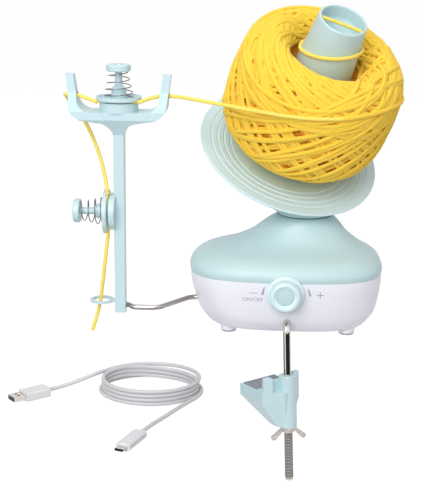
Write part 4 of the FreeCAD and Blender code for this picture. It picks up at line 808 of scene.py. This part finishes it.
def start_of_winding():
    """Angle, phase, swing and lift with which the ball takes over the strand."""
    inverse = BALL_FRAME.inverted()
    at = inverse @ lap_at
    way = inverse.to_3x3() @ lap_way
    angle = math.atan2(at.y, at.x)
    radius = math.hypot(at.x, at.y)
    line = profile_points()
    here = Vector((radius, 0.0, at.z))
    nearest = min(range(1, len(line) - 1), key=lambda i: (line[i] - here).length)
    share = length_of(line[:nearest + 1]) / length_of(line)
    along = (line[nearest + 1] - line[nearest - 1]).normalized()
    lift = (here - line[nearest]).dot(Vector((along.z, 0.0, -along.x)))
    round_way = (way.y * at.x - way.x * at.y) / radius
    climb = math.sqrt(max(0.0, 1 - round_way ** 2)) * (1 if way.z > 0 else -1)
    slope = climb / round_way * radius / length_of(line) / (1 - BALL_VALUES["Leap"])
    above = share - BALL_VALUES["Middle"]
    return angle, -math.atan2(slope, above), math.hypot(slope, above), lift


def wind(name, values):
    """Lays one winding on the bobbin; values are those that differ from the ball's own."""
    source = profile_curve(name + "_profile")
    run_tree(source, winding_nodes, {**BALL_VALUES, **values, "Material": ball_yarn})
    turns = plain_mesh(source, name)
    turns.data.transform(BALL_FRAME)
    finish_piece(turns, ball_yarn, "bobbin", ("yarn_ball",))


winding_nodes = winding_tree()
angle, phase, swing, lift = start_of_winding()
print("winding starts at", round(math.degrees(angle)), "degrees, phase", round(math.degrees(phase)),
      "swing", round(swing, 3), "lift", round(lift / MM, 2), "mm")
wind("wound_yarn", {"Start Angle": angle, "Start Phase": phase, "First Swing": swing, "Start Lift": lift})
wind("yarn_round_mouth", MOUTH_VALUES)

# %% [markdown]
# Under the outer strands lies yarn that no one can make out. A closed ring with the same profile, a little
# smaller, stops the eye from looking into an empty ball. It gets the full painted shade, the darker yellow
# of the gaps between strands.

# %% Bed under the strands
BED_DEPTH = 5.2
BED_STEPS = 64
BED_INSIDE = [(23.2, 78.0), (29.6, 5.0)]      # the ring's inner side, next to the core
BED_LEAST_R = 30.0


def make_bed():
    """Ring turned from the ball's profile, moved in by the depth of two strands."""
    line = [point / MM for point in profile_points()]
    outline = []
    for before, point, after in zip(line, line[1:], line[2:]):
        way = (after - before).normalized()
        outline.append(Vector((point.x - way.z * BED_DEPTH, 0.0, point.z + way.x * BED_DEPTH)))
    outline = [point for point in outline if point.x > BED_LEAST_R]
    outline += [Vector((radius, 0.0, height)) for radius, height in BED_INSIDE]
    shape = bmesh.new()
    rings = []
    for i in range(BED_STEPS):
        spin = Matrix.Rotation(2 * math.pi * i / BED_STEPS, 4, "Z")
        rings.append([shape.verts.new(spin @ (p * MM)) for p in outline])
    for i, ring in enumerate(rings):
        after = rings[(i + 1) % BED_STEPS]
        for j in range(len(outline)):
            k = (j + 1) % len(outline)
            shape.faces.new((ring[j], after[j], after[k], ring[k]))
    bmesh.ops.recalc_face_normals(shape, faces=shape.faces)
    made = mesh_from(shape, "yarn_bed")
    # The whole bed gets the full painted shade.
    deep = made.attributes.new("deep", "FLOAT", "POINT")
    deep.data.foreach_set("value", [1.0] * len(made.vertices))
    made.transform(BALL_FRAME)
    finish_piece(put_in_scene("yarn_bed", made), ball_yarn, "bobbin")


make_bed()

# %% [markdown]
# ## Yarn on the core
# The start of the yarn was held in the core's mouth and makes one slanting turn round the core. Its points
# come from a rule like the ball's: an angle round the axle and a height along it, on the tapered core.

# %% Yarn on the core
CORE_TOP_R = 18.2
CORE_H = 127.4
CORE_TAPER = math.radians(5.0)
WRAP_MID = 101.3
WRAP_SWING = 8.3
WRAP_TILT = 2.9
WRAP_FROM = math.radians(-148.0)
WRAP_STEPS = 18
WRAP_STEP = math.radians(354.0) / WRAP_STEPS
WRAP_OUT = 1.25       # from the core's face to the strand's middle
END_TURN = math.radians(53.5)
END_ASIDE = 2.6
END_HEIGHT = 125.2
END_HALF = 15.2
END_DIPS = ((-1.0, 0.4), (-0.5, 0.0), (0.5, 0.1), (1.0, 0.5))     # share of END_HALF, millimetres lower


def on_axle(out, side, up):
    """Point so far along the downhill direction, the level direction and the axle."""
    level = AXLE.cross(Vector((0, 0, 1))).normalized() * -1
    down = level.cross(AXLE)
    return DISH_AT / MM + down * out + level * side + AXLE * up


def make_core_yarn():
    points = []
    for i in range(WRAP_STEPS + 1):
        angle = WRAP_FROM + WRAP_STEP * i
        up = WRAP_MID + WRAP_SWING * math.cos(angle) + WRAP_TILT * math.sin(angle)
        radius = CORE_TOP_R + (CORE_H - up) * math.tan(CORE_TAPER) + WRAP_OUT
        radius /= math.cos(WRAP_STEP / 2)
        points.append(on_axle(radius * math.cos(angle), radius * math.sin(angle), up))
    make_strand("yarn_round_core", points, ("core_wrap",), "bobbin", 2.5, 2.9)
    way_x, way_y = math.cos(END_TURN), math.sin(END_TURN)
    chord = [on_axle(way_y * END_ASIDE + way_x * END_HALF * share, way_y * END_HALF * share - way_x * END_ASIDE,
                     END_HEIGHT - dip) for share, dip in END_DIPS]
    make_strand("yarn_across_mouth", chord, ("yarn_end",), "bobbin", 2.9, 2.6)


make_core_yarn()

# %% [markdown]
# ## Springs
# Each tension unit has a conical spring of thin steel wire under its knob. A cone spring is a rule too: four
# turns, the radius falling and the pitch opening towards the knob.

# %% Springs
SPRING_TURNS = 4
SPRING_POINTS = 20
SPRING_WIRE = 0.8
SPRING_WIDE = 11.6
SPRING_SLIM = 7.0
SPRING_LOW = 2.5
SPRING_HIGH = 22.1
PITCH_OPENS = 0.15    # how much closer the first turns lie


def make_spring(name, base, way, side, replaced):
    """Spring on a boss: base is the middle of the boss's face in millimetres, way points to the knob."""
    across = way.cross(side)
    points = []
    for i in range(SPRING_TURNS * SPRING_POINTS + 1):
        f = i / (SPRING_TURNS * SPRING_POINTS)
        angle = 2 * math.pi * SPRING_TURNS * f
        radius = SPRING_WIDE + (SPRING_SLIM - SPRING_WIDE) * f
        up = SPRING_LOW + (SPRING_HIGH - SPRING_LOW) * f * (1.0 - PITCH_OPENS + PITCH_OPENS * f)
        points.append(base + side * (radius * math.cos(angle)) + across * (radius * math.sin(angle)) + way * up)
    line = nurbs_route(name + "_route", points)
    run_tree(line, strand_nodes, {"Width": SPRING_WIRE * MM, "Thickness": SPRING_WIRE * MM, "Sides": 8,
                                  "Material": spring_steel})
    spring = plain_mesh(line, name)
    finish_piece(spring, spring_steel, "post", replaced)
    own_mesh(spring)


make_spring("upper_cone_spring", Vector((-139.9, -37.5, 177.6)), Vector((0, 0, 1)), Vector((1, 0, 0)),
            ("upper_spring",))
make_spring("lower_cone_spring", Vector((-147.2, -37.5, 94.9)), Vector((-1, 0, 0)), Vector((0, 0, 1)),
            ("lower_spring",))

# %% [markdown]
# ## The rod's screw thread
# Below the wing nut the rod is threaded, 1.25 millimetres a turn. The thread is a small ridge wound round the
# rod: a helix of points with the rod's radius, swept with a flat diamond and leaned as the jaw's slide is.

# %% Thread
PITCH = 1.25
RIDGE = 0.6
THREAD_TOP = -46.0
THREAD_POINTS = 14
ROD_AT = Vector((-12.6, -56.0, 13.6))
ROD_FOOT = -109.5
ROD_R = 2.95
THREAD_START = ROD_FOOT + 0.9
HEART_IN = 0.1        # how deep the middle of the ridge lies in the rod
ROOT_IN = 0.2         # how much deeper its root lies
CREST_SHARE = 0.8
FADE_LEAST = 0.05     # the ridge fades out over the first and the last turn


def make_thread():
    start = THREAD_START
    turns = (THREAD_TOP - start) / PITCH
    shape = bmesh.new()
    rings = []
    for i in range(int(turns * THREAD_POINTS) + 1):
        angle = 2 * math.pi * i / THREAD_POINTS
        z = start + PITCH * i / THREAD_POINTS
        grow = min(1.0, i / THREAD_POINTS, turns - i / THREAD_POINTS)
        out = Vector((math.cos(angle), math.sin(angle), 0.0))
        heart = Vector((ROD_AT.x, ROD_AT.y, z)) + out * (ROD_R - HEART_IN)
        tip = RIDGE * max(FADE_LEAST, grow)
        corners = (heart - out * ROOT_IN, heart - Vector((0, 0, tip)), heart + out * tip * CREST_SHARE,
                   heart + Vector((0, 0, tip)))
        rings.append([shape.verts.new(c * MM) for c in corners])
    for a, b in zip(rings, rings[1:]):
        for j in range(4):
            shape.faces.new((a[j], b[j], b[(j + 1) % 4], a[(j + 1) % 4]))
    shape.faces.new(rings[0])
    shape.faces.new(rings[-1][::-1])
    bmesh.ops.recalc_face_normals(shape, faces=shape.faces)
    made = mesh_from(shape, "rod_thread")
    lean = Vector((0, 0, 1)).rotation_difference(Vector(joints["jaw_slide"]["axis"])).to_matrix().to_4x4()
    made.transform(Matrix.Translation(ROD_AT * MM) @ lean @ Matrix.Translation(-ROD_AT * MM))
    thread = put_in_scene("rod_thread", made)
    finish_piece(thread, thread_steel, "clamp_bar")
    thread.data.shade_flat()


make_thread()

# %% [markdown]
# ## Printed marks round the dial
# The base carries grey printed marks: minus, plus, the words ON/OFF and two tapered strokes beside the dial.
# Each is drawn flat, turned to a mesh, cut finely and then pressed on the base's own surface with a ray, so
# that it follows the curve, 0.06 mm proud.

# %% Marks
MARK_LIFT = 0.06
MARK_EDGE = 1.2       # edges longer than this are cut
CAPITAL_SHARE = 0.7   # a capital's height in a font of size 1
LETTER_HEIGHT = 3.0
RAY_FROM_Y = -0.2
MARKS = (             # name, flat outline in X and Z or words, place on the base's front
    ("mark_minus", [(-3.1, -0.24), (3.1, -0.24), (3.1, 0.24), (-3.1, 0.24)], (-38.0, 37.6)),
    ("mark_plus_bar", [(-2.7, -0.3), (2.7, -0.3), (2.7, 0.3), (-2.7, 0.3)], (11.9, 37.0)),
    ("mark_plus_post", [(-0.3, -2.6), (0.3, -2.6), (0.3, 2.6), (-0.3, 2.6)], (11.9, 37.0)),
    ("mark_on_off", "ON/OFF", (-38.4, 32.3)),
    ("mark_left_stroke", [(0.5, 3.5), (1.5, 3.7), (0.2, -3.1), (-1.3, -2.4)], (-30.8, 39.2)),
    ("mark_right_stroke", [(-1.5, 3.5), (-0.6, 3.3), (1.2, -2.1), (-0.1, -2.8)], (4.0, 38.7)),
)
ink = moulded_plastic("grey_pad_print", "#9b98a3", "#a5a2ac", 0.55, 0.5, 0.004)


def flat_shape(name, outline):
    """Filled flat outline in X and Z, in millimetres."""
    shape = bmesh.new()
    shape.faces.new([shape.verts.new((x * MM, 0.0, z * MM)) for x, z in outline])
    return mesh_from(shape, name)


def letters(name, words):
    data = bpy.data.curves.new(name, "FONT")
    data.body = words
    data.size = LETTER_HEIGHT / CAPITAL_SHARE * MM
    data.align_x = "CENTER"
    data.align_y = "CENTER"
    thing = put_in_scene(name, data)
    made = evaluated_mesh(thing)
    bpy.data.objects.remove(thing)
    made.transform(Matrix.Rotation(math.radians(90), 4, "X"))
    return made


def press_on_base(name, made, x, z, wall):
    """Cuts the flat mark finely, moves it to (x, z) and lays it on the base's front."""
    shape = bmesh.new()
    shape.from_mesh(made)
    bmesh.ops.translate(shape, verts=shape.verts, vec=Vector((x, 0.0, z)) * MM)
    bmesh.ops.triangulate(shape, faces=shape.faces)
    long_edges = [e for e in shape.edges if e.calc_length() > MARK_EDGE * MM]
    bmesh.ops.subdivide_edges(shape, edges=long_edges, cuts=3, use_grid_fill=True)
    for vertex in shape.verts:
        hit, normal, _, _ = wall.ray_cast(Vector((vertex.co.x, RAY_FROM_Y, vertex.co.z)), Vector((0, 1, 0)))
        vertex.co = hit + normal * (MARK_LIFT * MM)
    bmesh.ops.recalc_face_normals(shape, faces=shape.faces)
    for face in shape.faces:
        if face.normal.y > 0:
            face.normal_flip()
    finish_piece(put_in_scene(name, mesh_from(shape, name)), ink, "base")


def make_marks():
    wall = BVHTree.FromObject(nodes["base_lower"], bpy.context.evaluated_depsgraph_get())
    for name, drawn, (x, z) in MARKS:
        flat = letters(name + "_flat", drawn) if isinstance(drawn, str) else flat_shape(name + "_flat", drawn)
        press_on_base(name, flat, x, z, wall)


make_marks()

# %% [markdown]
# ## Floor, light and finish
# The floor is a pale sheet at the height on which the lead lies. For the camera it is lifted towards white,
# which keeps the shadows and leaves no horizon. Large soft lamps and an even world light the winder. Plated
# metal shows what lies round it, and in an all white room it looks grey and flat, so two dark cards lie on
# the floor before and beside the clamp: only shiny surfaces see them.

# %% Stage
FLOOR_HALF = 9.0
FLOOR_DROP = 0.0002   # the lead lies on the floor with no gap that shows
FLOOR_GREY = (0.26, 0.26, 0.26, 1.0)          # paper's own colour for the eye, on top of its glow
FLOOR_GLOW = 0.89
WORLD_LIGHT = 0.36    # strength of the world as a light; for the eye it is 1
WHITE = (1.0, 1.0, 1.0, 1.0)
CARD_Z = -0.106
CARDS = {
    "card_low": ((-0.62, -0.9), (1.1, -0.9), (1.1, 0.12), (0.08, -0.1), (0.03, -0.14), (-0.09, -0.17)),
    "card_left": ((-0.9, -0.3), (-0.12, -0.09), (-0.12, 0.02), (-0.9, 0.12)),
}
LAMPS = (             # name, place, aim, side in metres, power in watts
    ("key", (-0.4, -1.42, 0.9), (0.0, 0.0, 0.1), 1.1, 20.0),
    ("fill", (1.3, -0.8, 0.7), (0.0, 0.0, 0.08), 1.0, 1.5),
    ("top", (0.1, -0.1, 1.6), (0.0, 0.0, 0.1), 1.6, 9.0),
)


def seen_by_eye(tree):
    """1 for the camera's rays, straight, mirrored or through glass, and 0 for rays that carry light about."""
    rays = link_node(tree, "ShaderNodeLightPath").outputs
    seen = math_node(tree, "MAXIMUM", rays["Is Camera Ray"], rays["Is Glossy Ray"])
    return math_node(tree, "MAXIMUM", seen, rays["Is Transmission Ray"])


def floor_material():
    material, tree, shader = new_material(
        "pale_paper_floor", {"Roughness": 0.9, "Specular IOR Level": 0.0, "Emission Color": WHITE})
    seen = seen_by_eye(tree)
    tree.links.new(blend_colours(tree, seen, paint("#d0d0d0"), FLOOR_GREY), shader.inputs["Base Color"])
    tree.links.new(math_node(tree, "MULTIPLY", seen, FLOOR_GLOW), shader.inputs["Emission Strength"])
    return material


def make_floor():
    shape = bmesh.new()
    bmesh.ops.create_grid(shape, x_segments=8, y_segments=8, size=FLOOR_HALF)
    made = mesh_from(shape, "floor")
    made.transform(Matrix.Translation((0.0, 0.0, cad_low.z - FLOOR_DROP)))
    made.materials.append(floor_material())
    put_in_scene("floor", made)


def soft_lamp(name, at, aim, size, power):
    data = bpy.data.lights.new(name, "AREA")
    data.shape = "SQUARE"
    data.size = size
    data.energy = power
    lamp = put_in_scene(name, data)
    lamp.location = at
    lamp.rotation_euler = (Vector(aim) - Vector(at)).to_track_quat("-Z", "Y").to_euler()


def make_world():
    world = bpy.data.worlds.new("studio")
    scene.world = world
    world.use_nodes = True
    tree = world.node_tree
    tree.nodes.clear()
    more = math_node(tree, "MULTIPLY", seen_by_eye(tree), 1.0 - WORLD_LIGHT)
    strength = math_node(tree, "ADD", WORLD_LIGHT, more)
    sky = link_node(tree, "ShaderNodeBackground", {"Color": WHITE, "Strength": strength})
    link_node(tree, "ShaderNodeOutputWorld", {"Surface": sky.outputs[0]})


def dark_card(name, corners):
    """A dark board that only shiny surfaces see, as a studio lays beside plated metal."""
    shape = bmesh.new()
    shape.faces.new([shape.verts.new((x, y, CARD_Z)) for x, y in corners])
    made = mesh_from(shape, name)
    values = {"Base Color": paint("#2c2c30"), "Specular IOR Level": 0.0}
    made.materials.append(new_material("black_paper_card", values)[0])
    card = put_in_scene(name, made)
    card.visible_camera = False
    card.visible_diffuse = False
    card.visible_transmission = False
    card.visible_shadow = False


make_floor()
make_world()
for card_name, card_corners in CARDS.items():
    dark_card(card_name, card_corners)
for lamp in LAMPS:
    soft_lamp(*lamp)
